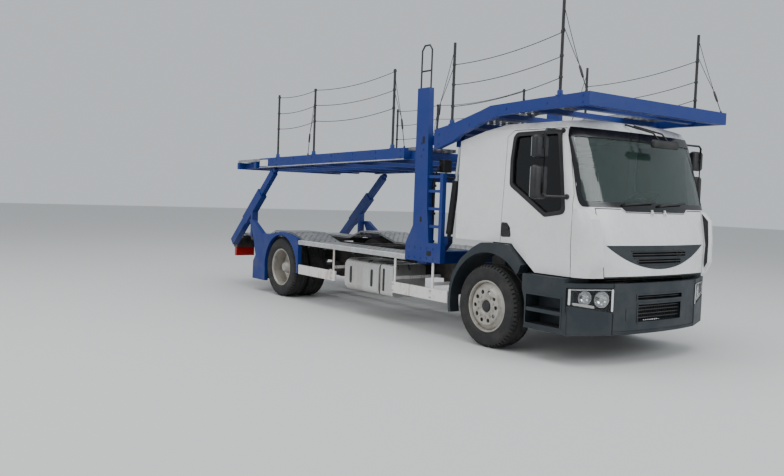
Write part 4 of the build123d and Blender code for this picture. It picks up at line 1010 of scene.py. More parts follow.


# Grille: bars in the flap's dark panel, bowed with the front, and a near-black sheet behind them as painted
# shade
def grille():
    profile = ((0, -0.007), (0.006, 0), (0, 0.007), (-0.045, 0.007), (-0.045, -0.007))
    bars = Build()
    for z, half in ((1.062, 0.36), (1.0985, 0.40), (1.135, 0.45), (1.1725, 0.48), (1.21, 0.50)):
        places = [on_front(y, z, -0.004) for y in spread(-half, half, 16)]
        bars.skin([[place + Vector((x, 0, up)) for x, up in profile] for place in places])
    bars.piece("grille_bars", black_plastic_and_slot_shade, "front_flap", "dark_plastic")
    # A near-black sheet behind the bars: painted shade in the openings
    shade_sheet = Build().box((front_axle + 1.22, -0.60, 1.03), (front_axle + 1.225, 0.60, 1.24))
    shade_sheet.piece("grille_shade_sheet", dark_parts_and_shade, "front_flap", "dark_plastic")


# Lamps: a tray with bowls, bulbs and bright strips behind each lens, and a sill below it
lens_line = [(-0.024, 0.566), (0.506, 0.641), (0.506, 0.819), (-0.024, 0.819)]
strip_lines = [[(-0.018, 0.575), (0.006, 0.579), (0.006, 0.812), (-0.018, 0.812)],
               [(0.474, 0.645), (0.500, 0.649), (0.500, 0.812), (0.474, 0.812)]]
turn_line = [(0.19, 0.606), (0.44, 0.642), (0.44, 0.668), (0.19, 0.634)]
sill_line = [(-0.026, 0.558), (0.515, 0.558), (0.515, 0.637), (-0.026, 0.563)]
facing_x, facing_y, back_per_s = 0.918, 0.396, 0.3963


def lamp_point(s, z, depth, side=-1):
    """A point on the bumper's slanting corner: s outwards along it from the front's end."""
    return Vector((front_axle + 1.395 - back_per_s * s + facing_x * depth,
                   side * (0.760 + facing_x * s + facing_y * depth), z))


def lamp_bowl(build, size, centre, facing):
    """A thin dished reflector."""
    front = [(size, 0.0), (size * 0.93, -0.022), (size * 0.72, -0.044), (size * 0.4, -0.058), (0.012, -0.062)]
    back = [(0.012, -0.066), (size * 0.5, -0.064), (size * 0.8, -0.05), (size, -0.026), (size * 1.05, 0.0)]
    build.lathe(front + back, centre, facing, 40)


def lamps():
    """Six pieces, each with both sides in it."""
    lens, tray, bright, bulbs, signal, sills = Build(), Build(), Build(), Build(), Build(), Build()
    bulb = [(0.0005, -0.020), (0.010, -0.024), (0.014, -0.034), (0.010, -0.055), (0.0005, -0.060)]
    tray_outer = contour(grown(lens_line, 0.004), 0.024)
    tray_inner = contour(grown(lens_line, -0.004), 0.018)
    top_strip = contour(rectangle(0.0, 0.797, 0.48, 0.808), 0.004)
    for side in (-1, 1):
        here = partial(lamp_point, side=side)
        facing = (facing_x, side * facing_y, 0)
        patch(lens, contour(lens_line, 0.022), here, lift=-0.001, sink=-0.005, rows=2)
        patch(tray, contour(lens_line, 0.022), here, lift=-0.088, sink=-0.092, rows=2)
        band(tray, tray_outer, tray_inner, here, lift=0.001, sink=-0.09, rows=1)
        for line in strip_lines:
            patch(bright, contour(line, 0.009), here, lift=0.005, sink=-0.030, rows=2)
        patch(bright, top_strip, here, lift=-0.008, sink=-0.030, rows=1)
        for s, z, size in ((0.105, 0.700, 0.082), (0.300, 0.715, 0.072)):
            centre = here(s, z, -0.02)
            lamp_bowl(bright, size, centre, facing)
            bulbs.lathe(bulb, centre, facing, 16)
        patch(signal, contour(turn_line, 0.008), here, lift=-0.012, sink=-0.030, rows=2)
        patch(sills, contour(sill_line, 0.002), here, lift=0.0, sink=-0.09, rows=2)
    sills.piece("lamp_sills", dark_plastic, "chassis", "dark_plastic")
    lens.piece("lamp_covers", lamp_glass, "chassis", "lamp_clear", True)
    trays = tray.piece("lamp_trays", dark_parts_and_shade, "chassis", "black_steel")
    bright.piece("lamp_bowls", bright_metal, "chassis", "aluminium", True)
    bulbs.piece("lamp_bulbs", white_lens, "chassis", "lamp_clear", True)
    signal.piece("turn_lenses", white_lens, "chassis", "lamp_clear", True)
    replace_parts(trays, "headlamps")


# Bumper: seams, bars and mesh in the air slots, rims round them, a tow cover and a lower lip
def bumper_x(y):
    """The bumper's front at a y."""
    bow = 3.8885
    return front_axle + 1.47 - (bow - sqrt(bow ** 2 - y * y))


def on_bumper(y, z, lift):
    """The bumper's bowed front at a y and a height."""
    return Vector((bumper_x(y) + lift, y, z))


def bumper_seams():
    lines = Build()
    for side in (-1, 1):
        for s, z0, z1 in ((-0.0285, 0.330, 0.556), (-0.0285, 0.829, 0.866), (0.500, 0.330, 0.632)):
            outline = [lamp_point(a, z, 0.0006, side) for a, z in rectangle(s, z0, s + 0.007, z1)]
            lines.plate(outline, (-0.003, -side * 0.001, 0))
    lines.piece("bumper_seams", dark_parts_and_shade, "chassis", "black_steel")


def air_slots():
    """Cross bars and fine uprights in the bumper's slots, and bars on uprights in the gap above it."""
    mesh = Build()
    slot_x = bumper_x(0.385)
    for z in (0.495, 0.535, 0.575, 0.612, 0.712):
        mesh.box((slot_x - 0.045, -0.384, z - 0.006), (slot_x - 0.020, 0.384, z + 0.006), 0.002)
    for y in spread(-0.38, 0.38, 20):
        mesh.box((slot_x - 0.050, y - 0.003, 0.456), (slot_x - 0.040, y + 0.003, 0.639), 0.001)
    for z in (0.885, 0.912, 0.939, 0.966):
        mesh.box((front_axle + 1.235, -0.72, z - 0.007), (front_axle + 1.262, 0.72, z + 0.007), 0.002)
    for y in spread(-0.70, 0.70, 4):
        mesh.box((front_axle + 1.180, y - 0.015, 0.86), (front_axle + 1.236, y + 0.015, 0.985), 0.003)
    mesh.piece("air_slot_mesh", black_plastic_and_slot_shade, "chassis", "dark_plastic")
    # A near-black sheet behind the slots: painted shade in them
    shade_sheet = Build().box((front_axle + 1.300, -0.42, 0.44), (front_axle + 1.304, 0.42, 0.75))
    shade_sheet.piece("slot_shade_sheet", dark_parts_and_shade, "chassis", "black_steel")


def bumper_trim():
    trim = Build()
    for z0, z1, half in ((0.455, 0.640, 0.385), (0.690, 0.738, 0.400)):
        slot = rectangle(-half, z0, half, z1)
        outer = contour(grown(slot, 0.016), 0.014, steps=4)
        inner = contour(slot, 0.006, steps=4)
        band(trim, outer, inner, on_bumper, lift=0.006, sink=-0.010, rows=2)
    tow_cover = contour(rectangle(-0.560, 0.470, -0.435, 0.600), 0.012)
    lip = contour(rectangle(-0.74, 0.345, 0.74, 0.362), 0.006, steps=3, runs=16)
    patch(trim, tow_cover, on_bumper, lift=0.004, sink=-0.006, rows=2)
    patch(trim, lip, on_bumper, lift=0.008, sink=-0.006, rows=2)
    trim.piece("bumper_trim", dark_plastic, "chassis", "dark_plastic", True)


# Steps: grip dimples on the treads and a frame round each opening
def step_place(x, z, lift, side):
    """The steps' outer face at an x from the front axle and a height."""
    return Vector((front_axle + x, side * (1.235 + lift), z))


def cab_step_fittings():
    first_x, pitch_x, first_y, pitch_y = 0.66, 0.035, 1.05, 0.033
    dimples = [((front_axle + first_x + pitch_x * k, side * (first_y + pitch_y * j), z), (0, 0, 1))
               for side in (-1, 1) for z, edge_y in ((0.5602, 1.165), (0.3902, 1.22))
               for k in range(13) for j in range(6) if first_y + pitch_y * j < edge_y]
    dimple_size = (0.007, 0.008)
    grip = bolt_tree(black_plastic_and_slot_shade)
    bolts("step_grips", grip, dimples, dimple_size, black_plastic_and_slot_shade, "chassis")
    opening = rectangle(0.63, 0.39, 1.117, 0.70)
    outer = contour(grown(opening, 0.018), 0.03, steps=4, runs=6)
    inner = contour(opening, 0.012, steps=4, runs=6)
    frames = Build()
    for side in (-1, 1):
        band(frames, outer, inner, partial(step_place, side=side), lift=0.004, sink=-0.008, rows=2)
    frames.piece("step_frames", dark_plastic, "chassis", "dark_plastic", True)


# Arches: a broad slanting cover over each front wheel, a lining behind it and the bracket that holds it
arch_line = [Vector(p) for p in ((-0.65, 0.33), (-0.65, 0.62), (-0.60, 0.80), (-0.465, 0.985), (-0.255, 1.14),
                                 (-0.12, 1.204), (0.296, 1.212), (0.331, 1.174), (0.556, 0.972))]
wheel_centre = Vector((0, tyre_radius))
arch_radius = 0.62


def arch_reach(ray):
    """How far the cover's outer line is from the wheel's centre, along a ray."""
    reach = arch_radius + 0.04
    for a, b in zip(arch_line, arch_line[1:]):
        run, start = b - a, a - wheel_centre
        cross = ray.cross(run)
        if abs(cross) > 1e-9:
            along, share = start.cross(run) / cross, start.cross(ray) / cross
            if along > 0 and -0.001 <= share <= 1.001:
                reach = max(reach, along)
    return reach


def arch_covers():
    cover, lining = [], []
    for angle in spread(radians(193.6), radians(41.7), 48):
        ray = Vector((cos(angle), sin(angle)))
        near, far = wheel_centre + ray * arch_radius, wheel_centre + ray * arch_reach(ray)
        outline = ((near, 1.095), (far, 1.095), (far, 1.229), (far, 1.235), (near, 1.235))
        cover.append([(front_axle + p.x, y, p.y) for p, y in outline])
    for angle in spread(radians(10), radians(175), 40):
        outline = ((arch_radius, 0.86), (0.65, 0.86), (0.65, 1.10), (arch_radius, 1.10))
        lining.append([(front_axle + r * cos(angle), y, tyre_radius + r * sin(angle)) for r, y in outline])
    arches = Build().skin(cover).skin(lining)
    arches.box((front_axle - 0.03, 0.44, 0.79), (front_axle + 0.03, 0.88, 0.84), 0.004)
    arches.box((front_axle - 0.03, 0.86, 0.79), (front_axle + 0.03, 0.88, 1.11), 0.004)
    arches.mirrored()
    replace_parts(arches.piece("arch_covers", dark_plastic, "chassis", "dark_plastic", True), "front_arches")


# Mirrors: rounded housings on bent arms, with the glass on their rear faces
def mirrors():
    foot = [(0.0, 0.0), (0.030, 0.0), (0.030, 0.012), (0.022, 0.020), (0.0, 0.020)]
    rear_x, front_x, arm_x = front_axle + 0.850, front_axle + 0.940, front_axle + 0.955
    rim = 0.020
    for name, side in both_sides:
        shells, glass = Build(), Build()
        arm_y = side * 1.405
        y0, y1 = sorted((side * 1.305, side * 1.510))
        for z0, z1 in ((1.725, 2.080), (2.150, 2.390)):
            middle = (z0 + z1) / 2
            shells.box((rear_x, y0, z0), (front_x, y1, z1), 0.038, segments=5, profile=0.5)
            glass.box((rear_x - 0.004, y0 + rim, z0 + rim), (rear_x + 0.001, y1 - rim, z1 - rim), 0.001)
            shells.tube([(front_x - 0.010, arm_y, middle), (arm_x, arm_y, middle)], 0.016, 10)
        high = on_side(0.93, 2.452, -0.01, side)
        low = on_side(1.055, 1.760, -0.01, side)
        shells.tube([high, (arm_x - 0.006, arm_y - side * 0.03, 2.452), (arm_x, arm_y, 2.425),
                     (arm_x, arm_y, 1.790), (arm_x + 0.012, arm_y - side * 0.03, 1.762), low], 0.013, 10)
        for point in (high, low):
            shells.lathe(foot, point, (0, side, 0), 16)
        arms = shells.piece(f"mirror_housings_{name}", black_plastic_and_slot_shade, f"door_{name}", "dark_plastic", True)
        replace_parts(arms, f"mirror_{name}")
        glass.piece(f"mirror_glass_{name}", bright_metal, f"door_{name}", "glass")
    kerb = Build()
    kerb.box((front_axle + 1.265, -0.080, 2.335), (front_axle + 1.335, 0.400, 2.425), 0.034, segments=5,
             profile=0.5)
    for y in (0.08, 0.24):
        kerb.tube([(front_axle + 1.295, y, 2.400), (front_axle + 1.24, y - 0.06, 2.50),
                   (front_axle + 1.015, y - 0.275, 2.588)], 0.010)
    shell = kerb.piece("front_mirror_shell", black_plastic_and_slot_shade, "chassis", "dark_plastic", True)
    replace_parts(shell, "front_mirror")


# Wheels: tyres with tread blocks, nuts, hub caps, valves, and dark discs painted as the shade in the rear
# discs' hand holes
def half_profile(groove):
    """A tyre's section from the bead to the middle, as (radius, depth from the outer face)."""
    return [(0.2869, 0.041), (0.2989, 0.026), (0.2992, 0.019), (0.318, 0.012), (0.326, 0.013), (0.332, 0.008),
            (0.372, 0.002), (0.410, 0.001), (0.426, 0.004), (0.430, 0.002), (0.436, 0.006), (0.448, 0.013),
            (0.462 - groove, 0.024 + groove), (0.472 - groove, 0.036 + groove), (0.4755 - groove, 0.052),
            (0.4757, 0.062), (0.464, 0.066), (0.464, 0.074), (0.476, 0.078), (0.476, 0.112), (0.464, 0.116)]


def tyre(build, axle_x, outer_y, width, side):
    """One tyre: rings of block and groove sections in turn around the axle line."""
    blocks, groove = 56, 0.011
    rings = []
    for k in range(blocks):
        for share, cut in ((0.0, 0.0), (0.62, 0.0), (0.66, groove), (0.96, groove)):
            turn = (k + share) * 2 * pi / blocks
            outer = half_profile(cut)
            profile = outer + [(r, width - depth) for r, depth in reversed(outer)]
            rings.append([(axle_x + r * cos(turn), side * (outer_y - depth), tyre_radius + r * sin(turn))
                          for r, depth in profile])
    build.skin(rings, closed=True)


def on_circle(axle_x, radius, y, offset=0.0, count=10):
    """Places spread evenly round a wheel's axle line."""
    turns = [2 * pi * (k + offset) / count for k in range(count)]
    return [(axle_x + radius * cos(turn), y, tyre_radius + radius * sin(turn)) for turn in turns]


def wheels():
    """Front and rear wheels of both sides, with a piece for each finish."""
    cap_profile = [(0.0, 0.012), (0.035, 0.010), (0.060, 0.0), (0.070, -0.014), (0.074, -0.022),
                   (0.0, -0.022)]
    hole_profile = [(0.0, 0.001), (0.020, 0.001), (0.023, -0.004), (0.0, -0.004)]
    front_width, rear_width, twin_pitch = 0.315, 0.290, 0.330
    front_nut, rear_nut = (0.014, 0.022), (0.016, 0.034)
    front_nut_circle, rear_nut_circle, hole_circle = 0.128, 0.1675, 0.205
    disc_y = wheel_face - 0.292
    for name, side in both_sides:
        front_body, rear_body, outwards = f"wheel_front_{name}", f"wheels_rear_{name}", (0, side, 0)
        front, rear, cap, hole_shades, valve = Build(), Build(), Build(), Build(), Build()
        tyre(front, front_axle, wheel_face, front_width, side)
        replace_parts(front.piece(f"front_tread_{name}", rubber, front_body, "tyre", True, 24),
                    f"front_tyre_{name}")
        for outer_y in (wheel_face, wheel_face - twin_pitch):
            tyre(rear, rear_axle, outer_y, rear_width, side)
        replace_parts(rear.piece(f"rear_tread_{name}", rubber, rear_body, "tyre", True, 24),
                    f"rear_tyres_{name}")
        places = on_circle(front_axle, front_nut_circle, side * (wheel_face - 0.001), 0.5)
        nuts = [(place, outwards) for place in places]
        bolts(f"front_nuts_{name}", steel_bolts, nuts, front_nut, steel_wheel, front_body)
        cap.lathe(cap_profile, (front_axle, side * (wheel_face - 0.008), tyre_radius), outwards, 40)
        cap.piece(f"front_cap_{name}", dark_steel, front_body, "rim_grey", True)
        nuts = [(place, outwards) for place in on_circle(rear_axle, rear_nut_circle, side * disc_y)]
        bolts(f"rear_nuts_{name}", steel_bolts, nuts, rear_nut, steel_wheel, rear_body)
        # Near-black discs on the rear wheels' faces: painted shade where the hand holes are
        for place in on_circle(rear_axle, hole_circle, side * (disc_y + 0.0005), 0.5):
            hole_shades.lathe(hole_profile, place, outwards, 14)
        hole_shades.piece(f"rear_hand_hole_shades_{name}", dark_parts_and_shade, rear_body, "black_steel")
        valve.tube([(front_axle + 0.225, side * (wheel_face - 0.030), tyre_radius - 0.02),
                    (front_axle + 0.245, side * (wheel_face - 0.010), tyre_radius - 0.02)], 0.004)
        valve.piece(f"valve_{name}", zinc_bolt, front_body, "rim_grey")


# Safety ropes between the stakes, stays with turnbuckles, and a clip at each fastening
stake_y = 1.218
rope_runs = {"over_cab_deck": [(-0.73, 0.96, [(3.31, 3.47), (3.07, 3.22), (2.81, 3.00)])],
             "main_deck": [(-1.92, -3.93, [(3.355, 3.27), (3.11, 3.04), (2.87, 2.80)]),
                           (-3.93, -5.06, [(3.27, 3.24), (3.04, 2.98), (2.80, 2.73)])]}
stays = [("over_cab_deck", (0.96, 3.74), (1.20, 3.097), (1.31, 2.835)),
         ("over_cab_deck", (-0.73, 3.50), (-0.965, 2.86), (-1.0, 2.55)),
         ("main_deck", (-1.92, 3.30), (-1.74, 2.72), (-1.66, 2.345)),
         ("main_deck", (-3.93, 3.20), (-4.06, 2.62), (-4.10, 2.30))]
sockets = {"over_cab_deck": [(-0.73, 2.592), (0.96, 2.8095)],
           "main_deck": [(x, main_deck_z(x) + 0.1) for x in (-1.92, -3.93, -5.06)]}


def rope(name, points, body, radius=0.0045):
    """A rope as a smooth curve through the air between its fastenings."""
    curve = bpy.data.curves.new(name, "CURVE")
    curve.dimensions = "3D"
    curve.bevel_depth = radius
    curve.bevel_resolution = 2
    spline = curve.splines.new("NURBS")
    spline.points.add(len(points) - 1)
    for target, point in zip(spline.points, points):
        target.co = (*point, 1)
    spline.order_u = 3
    spline.use_endpoint_u = True
    curve.materials.append(rope_fibre)
    thing = bpy.data.objects.new(name, curve)
    bpy.context.scene.collection.objects.link(thing)
    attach(thing, body)


def rope_run(clips, body, start, end, levels):
    """Ropes one above the other between two stakes on both sides, sagging a little, each with two clips."""
    clip = [(0.0172, -0.011), (0.0225, -0.011), (0.0225, 0.011), (0.0172, 0.011)]
    sag = 0.05 / 1.7 * abs(end - start)
    inset = 0.018
    for k, (z0, z1) in enumerate(levels):
        for name, side in both_sides:
            y = side * stake_y
            inside_y = y - side * inset
            middle = ((start + end) / 2 + front_axle, inside_y, (z0 + z1) / 2 - 2 * sag)
            rope(f"rope_{body}_{round(-start * 100)}_{k}_{name}",
                 [(front_axle + start, inside_y, z0), middle, (front_axle + end, inside_y, z1)], body)
            for x, z in ((start, z0), (end, z1)):
                clips.lathe(clip, (front_axle + x, y, z), (0, 0, 1), 14)


def stay(clips, body, top, joint, foot):
    """Two wires from a stake to an eye, and a turnbuckle from there to a foot on the beam."""
    barrel = [(0.005, -0.075), (0.012, -0.060), (0.014, 0.0), (0.012, 0.060), (0.005, 0.075)]
    for name, side in both_sides:
        y = side * stake_y
        eye = Vector((front_axle + joint[0], y, joint[1]))
        foot_at = Vector((front_axle + foot[0], y, foot[1]))
        for k, drop in enumerate((0.0, 0.20)):
            start = (front_axle + top[0], y, top[1] - drop)
            middle = ((start[0] + eye.x) / 2, y, (start[2] + eye.z) / 2 - 0.02)
            rope(f"stay_{body}_{round(abs(top[0]) * 100)}_{name}_{k}", [start, middle, eye], body, 0.0035)
        along = (foot_at - eye).normalized()
        clips.lathe(barrel, eye + along * 0.075, along, 12)
        clips.tube([eye + along * 0.14, foot_at], 0.005)
        clips.tube([foot_at + Vector((0, 0, 0.012)), foot_at - Vector((0, 0, 0.03))], 0.012)


def rigging():
    clips = {body: Build() for body in rope_runs}
    for body, runs in rope_runs.items():
        for start, end, levels in runs:
            rope_run(clips[body], body, start, end, levels)
    for body, top, joint, foot in stays:
        stay(clips[body], body, top, joint, foot)
    for body, build in clips.items():
        build.piece(f"rope_clips_{body}", dark_steel, body, "black_steel", True)


def stake_sockets():
    collar = [(0.0178, -0.004), (0.030, -0.004), (0.030, 0.045), (0.026, 0.055), (0.0178, 0.055)]
    for body, places in sockets.items():
        build = Build()
        for x, z in places:
            build.lathe(collar, (front_axle + x, -stake_y, z), (0, 0, 1), 18)
            build.box((front_axle + x - 0.05, -1.235, z - 0.004), (front_axle + x + 0.05, -1.176, z + 0.010),
                      0.003)
        build.mirrored()
        build.piece(f"stake_sockets_{body}", blue_paint, body, "blue_paint", True)


# Seats: a padded cushion, back and headrest on each base
def padded_form(low, high, crown, lean, channels):
    """A crowned closed pad: full in the middle, pulled in at the corners, with sewn channels across it."""
    steps = 18
    corner_pull, edge_share, seam_depth, seam_half = 0.05, 0.35, 0.006, 0.12
    points, faces = [], []
    middle = [(a + b) / 2 for a, b in zip(low, high)]
    half = [(b - a) / 2 for a, b in zip(low, high)]
    for axis in range(3):
        broad = half[axis] == min(half)
        for sign in (-1, 1):
            start = len(points)
            for u in spread(-1, 1, steps):
                for v in spread(-1, 1, steps):
                    spot = [0.0, 0.0, 0.0]
                    spot[axis], spot[(axis + 1) % 3], spot[(axis + 2) % 3] = float(sign), u, v
                    corner = abs(spot[0] * spot[1]) + abs(spot[1] * spot[2]) + abs(spot[0] * spot[2])
                    puff = (1 - u * u) * (1 - v * v) * crown * (1 if broad else edge_share)
                    seam_in = 0.0
                    if broad and channels:
                        across = spot[1] if axis != 1 else spot[0]
                        off_seam = abs(((across + 1) * channels / 2) % 1 - 0.5)
                        seam_in = seam_depth * max(0.0, 1 - off_seam / seam_half)
                    place = [m + h * p * (1 - corner_pull * corner) for m, h, p in zip(middle, half, spot)]
                    place[axis] += sign * (puff - seam_in)
                    place[0] -= lean * (place[2] - low[2])
                    points.append(place)
            row = steps + 1
            corners = [start + i * row + j for i in range(steps) for j in range(steps)]
            faces += [(a, a + row, a + row + 1, a + 1) for a in corners]
    return points, faces


def seats():
    """Pads for both seats, and one piece of bases and headrest rods."""
    x = front_axle
    bases = Build()
    for name, side in both_sides:
        middle_y = side * 0.56
        y0, y1 = middle_y - 0.235, middle_y + 0.235
        for part, low, high, crown, lean, channels in (
                ("cushion", (x - 0.17, y0, 1.50), (x + 0.31, y1, 1.625), 0.018, 0.0, 4),
                ("back", (x - 0.150, y0 + 0.01, 1.63), (x - 0.045, y1 - 0.01, 2.16), 0.020, 0.07, 4),
                ("headrest", (x - 0.175, y0 + 0.11, 2.175), (x - 0.095, y1 - 0.11, 2.315), 0.012, 0.05, 0)):
            pad = Build().take(*padded_form(low, high, crown, lean, channels))
            pad_piece = pad.piece(f"seat_{part}_{name}", seat_cloth, "chassis", "seat_cloth", True, 60)
            if part == "cushion":
                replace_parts(pad_piece, "seats")
        bases.box((x - 0.16, y0 + 0.03, 1.295), (x + 0.29, y1 - 0.03, 1.497), 0.02)
        for dy in (-0.06, 0.06):
            bases.tube([(x - 0.140, middle_y + dy, 2.14), (x - 0.146, middle_y + dy, 2.20)], 0.006)
    bases.piece("seat_bases", trim_plastic, "chassis", "cab_trim", True)


# Deck beams: a pale strip along the main beams' lower edges as a painted highlight, blank plates at the main
# beams' rear ends, bolts
bolt_y = side_y + 0.0005
beam_bolt, post_bolt, board_bolt = (0.011, 0.008), (0.012, 0.009), (0.007, 0.006)


def side_bolts(places):
    """Bolts on both sides of the truck at (x from the front axle, z), facing outwards."""
    return [((front_axle + x, side * bolt_y, z), (0, side, 0)) for side in (-1, 1) for x, z in places]


def beam_fittings():
    highlight_y, highlight_thickness = side_y + 0.0002, 0.003
    x0, x1 = -5.655, -1.632
    z0, z1 = main_deck_z(x0) - 0.055, main_deck_z(x1) - 0.055
    low, high = 0.001, 0.014
    # A thin pale strip along each main beam's lower edge: a painted highlight of the flange's lip
    highlight_strip = Build().plate([(front_axle + x0, highlight_y, z0 + low), (front_axle + x1, highlight_y, z1 + low),
                           (front_axle + x1, highlight_y, z1 + high), (front_axle + x0, highlight_y, z0 + high)],
                          (0, highlight_thickness, 0))
    highlight_strip.mirrored().piece("beam_edge_highlight", zinc_and_highlight, "main_deck", "galvanised")
    z = main_deck_z(-5.5)
    blanks = Build().box((front_axle - 5.64, side_y + 0.0001, z - 0.030),
                         (front_axle - 5.36, side_y + 0.0031, z + 0.075), 0.001)
    blanks.mirrored().piece("beam_end_plates", board_plate, "main_deck", "white_boards")
    places = [(x, main_deck_z(x) + dz) for x in [-1.72 - 0.56 * k for k in range(7)] for dz in (-0.02, 0.065)]
    bolts("beam_bolts", blue_bolts, side_bolts(places), beam_bolt, blue_paint, "main_deck")
    places = [(-0.95, 2.36), (-0.95, 2.48), (-0.4, 2.57), (0.2, 2.72), (0.8, 2.74), (1.28, 2.72),
              (1.28, 2.79)]
    bolts("cab_beam_bolts", blue_bolts, side_bolts(places), beam_bolt, blue_paint, "over_cab_deck")


# Posts: bolted foot, dark patches painted as the shade in lashing holes, hydraulic pipes with clamps and a
# valve block
def on_post(x, z, lift):
    """The left post's outer face at an x from the front axle and a height."""
    return Vector((front_axle + x, side_y + lift, z))


def post_fittings():
    places = [(-1.46 + 0.12 * k, z) for z in (0.93, 1.06) for k in range(5)]
    places += [(-1.28, 2.22), (-1.24, 2.30), (-1.28, 2.38)]
    bolts("post_bolts", blue_bolts, side_bolts(places), post_bolt, blue_paint, "chassis")
    # Near-black patches on the posts' faces: painted shade where the lashing holes are
    lashing_hole_shades = Build()
    for x, z, half, tall in ((-1.05, 1.00, 0.045, 0.030), (-1.235, 2.42, 0.022, 0.045),
                             (-1.235, 1.42, 0.018, 0.035)):
        ring = contour(rectangle(x - half, z - tall, x + half, z + tall), 0.02, runs=3)
        patch(lashing_hole_shades, ring, on_post, lift=0.0015, sink=-0.002, rows=2)
    lashing_hole_shades.mirrored().piece("post_hole_shades", dark_parts_and_shade, "chassis", "black_steel")


def hydraulics():
    pipes = Build()
    for k in range(3):
        x = front_axle - 1.155 + 0.022 * k
        bend_z, top_z = 1.90 + 0.05 * k, 2.05 + 0.04 * k
        pipes.tube([(x, 1.13, 0.98), (x, 1.13, bend_z), (x + 0.05, 1.10, top_z), (x + 0.05, 0.98, top_z)],
                   0.008)
    clamp_heights = (1.15, 1.50, 1.85)
    for z in clamp_heights:
        pipes.box((front_axle - 1.172, 1.118, z - 0.015), (front_axle - 1.092, 1.162, z + 0.015), 0.003)
    pipes.box((front_axle - 1.13, 0.93, 2.02), (front_axle - 1.03, 1.06, 2.18), 0.006)
    cross_x = front_axle - 1.08
    pipes.tube([(cross_x, 0.98, 2.02), (cross_x, 0.98, 1.96), (cross_x, 0.6, 1.94), (cross_x, -0.98, 1.94)],
               0.010)
    pipes.mirrored().piece("hydraulic_pipes", dark_steel, "chassis", "black_steel", True)


# Fuel tank: straps and a filler cap; bolts on the side boards
def strap(build, x, y_out, y_in, z_low, z_high, corner):
    """A flat band round a tank, sunk a little into it."""
    def along(y, z, lift):
        return Vector((front_axle + x + lift, y, z))

    outer = rectangle(y_out - 0.003, z_low - 0.004, y_in + 0.003, z_high + 0.004)
    inner = rectangle(y_out + 0.003, z_low + 0.002, y_in - 0.003, z_high - 0.002)
    outer = contour(outer, corner * 1.45, steps=8, runs=4)
    inner = contour(inner, corner * 1.38, steps=8, runs=4)
    half_width = 0.024
    band(build, outer, inner, along, lift=half_width, sink=-half_width, rows=1)


def tank_and_board_fittings():
    straps = Build()
    for x in (-2.775, -2.265):
        strap(straps, x, -1.239, -0.624, 0.340, 0.790, 0.110)
    strap(straps, -2.02, -1.208, -0.655, 0.345, 0.785, 0.060)
    straps.piece("tank_straps", black_plastic_and_slot_shade, "chassis", "black_steel", True)
    cap = [(0.0, 0.030), (0.030, 0.030), (0.040, 0.022), (0.042, 0.0), (0.048, -0.004), (0.048, -0.020),
           (0.0, -0.020)]
    filler = Build().lathe(cap, (front_axle - 2.40, -1.155, 0.760), (0, -0.6, 0.8), 28)
    filler.piece("filler_cap", black_plastic_and_slot_shade, "chassis", "black_steel", True)
    places = [(x + dx, z) for x in (-3.28, -1.775, -0.995) for dx in (-0.012, 0.012) for z in (0.455, 0.535)]
    bolts("board_bolts", zinc_bolts, side_bolts(places), board_bolt, zinc_bolt, "chassis")


# Edge rails of the lower deck, tail lamps' lenses, blank rear plate, mudflaps
def edge_rails():
    rear_x, front_x = front_axle - 4.27, front_axle - 1.545
    rails = Build()
    for z in (0.893, 0.940):
        rails.box((rear_x, side_y + 0.0005, z - 0.006), (front_x, side_y + 0.0035, z + 0.006), 0.001)
    rails.box((rear_x, side_y + 0.0002, 0.899), (front_x, side_y + 0.0012, 0.934))
    rails.mirrored().piece("edge_rails", zinc_and_highlight, "chassis", "galvanised")


def tail_fittings():
    """Three lenses in each lamp, the blank plate between the lamps, and the mudflaps."""
    for label, material, low, high in (("stop", red_lens, 0.705, 0.860), ("turn", amber_lens, 0.865, 0.955),
                                       ("reverse", white_lens, 0.960, 1.055)):
        lenses = Build().box((rear_axle - 2.047, low, 0.508), (rear_axle - 2.039, high, 0.652), 0.003)
        lenses.mirrored().piece(f"tail_lens_{label}", material, "chassis", "lamp_red")
    plate = Build().box((rear_axle - 2.053, -0.26, 0.685), (rear_axle - 2.050, 0.26, 0.795), 0.001)
    plate.piece("rear_plate_blank", board_plate, "chassis", "white_boards")
    flaps = Build().box((rear_axle - 0.606, 0.60, 0.22), (rear_axle - 0.594, 1.17, 0.86), 0.003)
    flaps.mirrored().piece("mudflaps", black_plastic_and_slot_shade, "chassis", "black_steel")


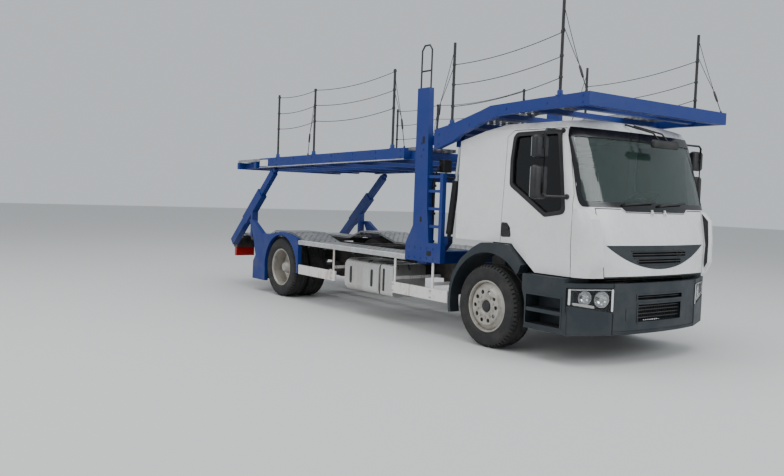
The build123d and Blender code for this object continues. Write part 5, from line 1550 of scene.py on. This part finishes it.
# Camera at the photograph's viewpoint
def look():
    place, yaw, pitch, roll = (9.351, -7.594, 1.706), radians(143.094), radians(-3.039), radians(2.1)
    sensor_width, focal_pixels, picture_width = 36, 798.232, 784
    ahead = Vector((cos(yaw) * cos(pitch), sin(yaw) * cos(pitch), sin(pitch)))
    level = Vector((sin(yaw), -cos(yaw), 0))
    above = level.cross(ahead)
    right = level * cos(roll) + above * sin(roll)
    up = -level * sin(roll) + above * cos(roll)
    turn = Matrix((right, up, -ahead)).transposed()
    camera = bpy.data.cameras.new("camera")
    camera.sensor_width = sensor_width
    camera.lens = sensor_width * focal_pixels / picture_width
    camera.clip_end = 200
    thing = bpy.data.objects.new("camera", camera)
    thing.matrix_world = Matrix.Translation(place) @ turn.to_4x4()
    bpy.context.scene.collection.objects.link(thing)
    bpy.context.scene.camera = thing


def light(name, place, target, size, power, colour=(1, 1, 1)):
    """A soft panel at a place, facing its target."""
    lamp = bpy.data.lights.new(name, "AREA")
    lamp.shape = "RECTANGLE"
    lamp.size, lamp.size_y = size
    lamp.energy = power
    lamp.color = colour
    thing = bpy.data.objects.new(name, lamp)
    thing.location = place
    thing.rotation_euler = (Vector(target) - Vector(place)).to_track_quat("-Z", "Y").to_euler()
    bpy.context.scene.collection.objects.link(thing)


def studio():
    """A plain pale floor under a grey sky, with three soft panels."""
    reach = 60
    floor_mesh = bpy.data.meshes.new("floor")
    corners = [(x, y, 0) for x, y in rectangle(-reach, -reach, reach, reach)]
    floor_mesh.from_pydata(corners, [], [(0, 1, 2, 3)])
    floor = bpy.data.objects.new("floor", floor_mesh)
    ground = bpy.data.materials.new("pale_floor")
    ground.use_nodes = True
    ground.node_tree.nodes["Principled BSDF"].inputs["Base Color"].default_value = (0.62, 0.62, 0.61, 1)
    ground.node_tree.nodes["Principled BSDF"].inputs["Roughness"].default_value = 0.8
    floor_mesh.materials.append(ground)
    bpy.context.scene.collection.objects.link(floor)
    world = bpy.data.worlds.new("sky")
    world.use_nodes = True
    sky = world.node_tree.nodes["Background"]
    sky.inputs["Color"].default_value = (0.80, 0.85, 0.90, 1)
    sky.inputs["Strength"].default_value = 0.75
    bpy.context.scene.world = world
    light("sky_panel", (2, -3, 14), (0, 0, 0), (16, 12), 1500)
    light("front_panel", (13, 3, 7), (2, 0, 1.4), (7, 5), 500, (0.95, 0.98, 1.0))
    light("side_panel", (2, -13, 7), (0, 0, 1.2), (12, 5), 420, (1.0, 0.98, 0.95))


cab_skins()
windscreen_border()
doors_and_seams()
corner_fins()
grille()
lamps()
bumper_seams()
air_slots()
bumper_trim()
cab_step_fittings()
arch_covers()
mirrors()
wheels()
rigging()
stake_sockets()
seats()
beam_fittings()
post_fittings()
hydraulics()
tank_and_board_fittings()
edge_rails()
tail_fittings()
look()
studio()
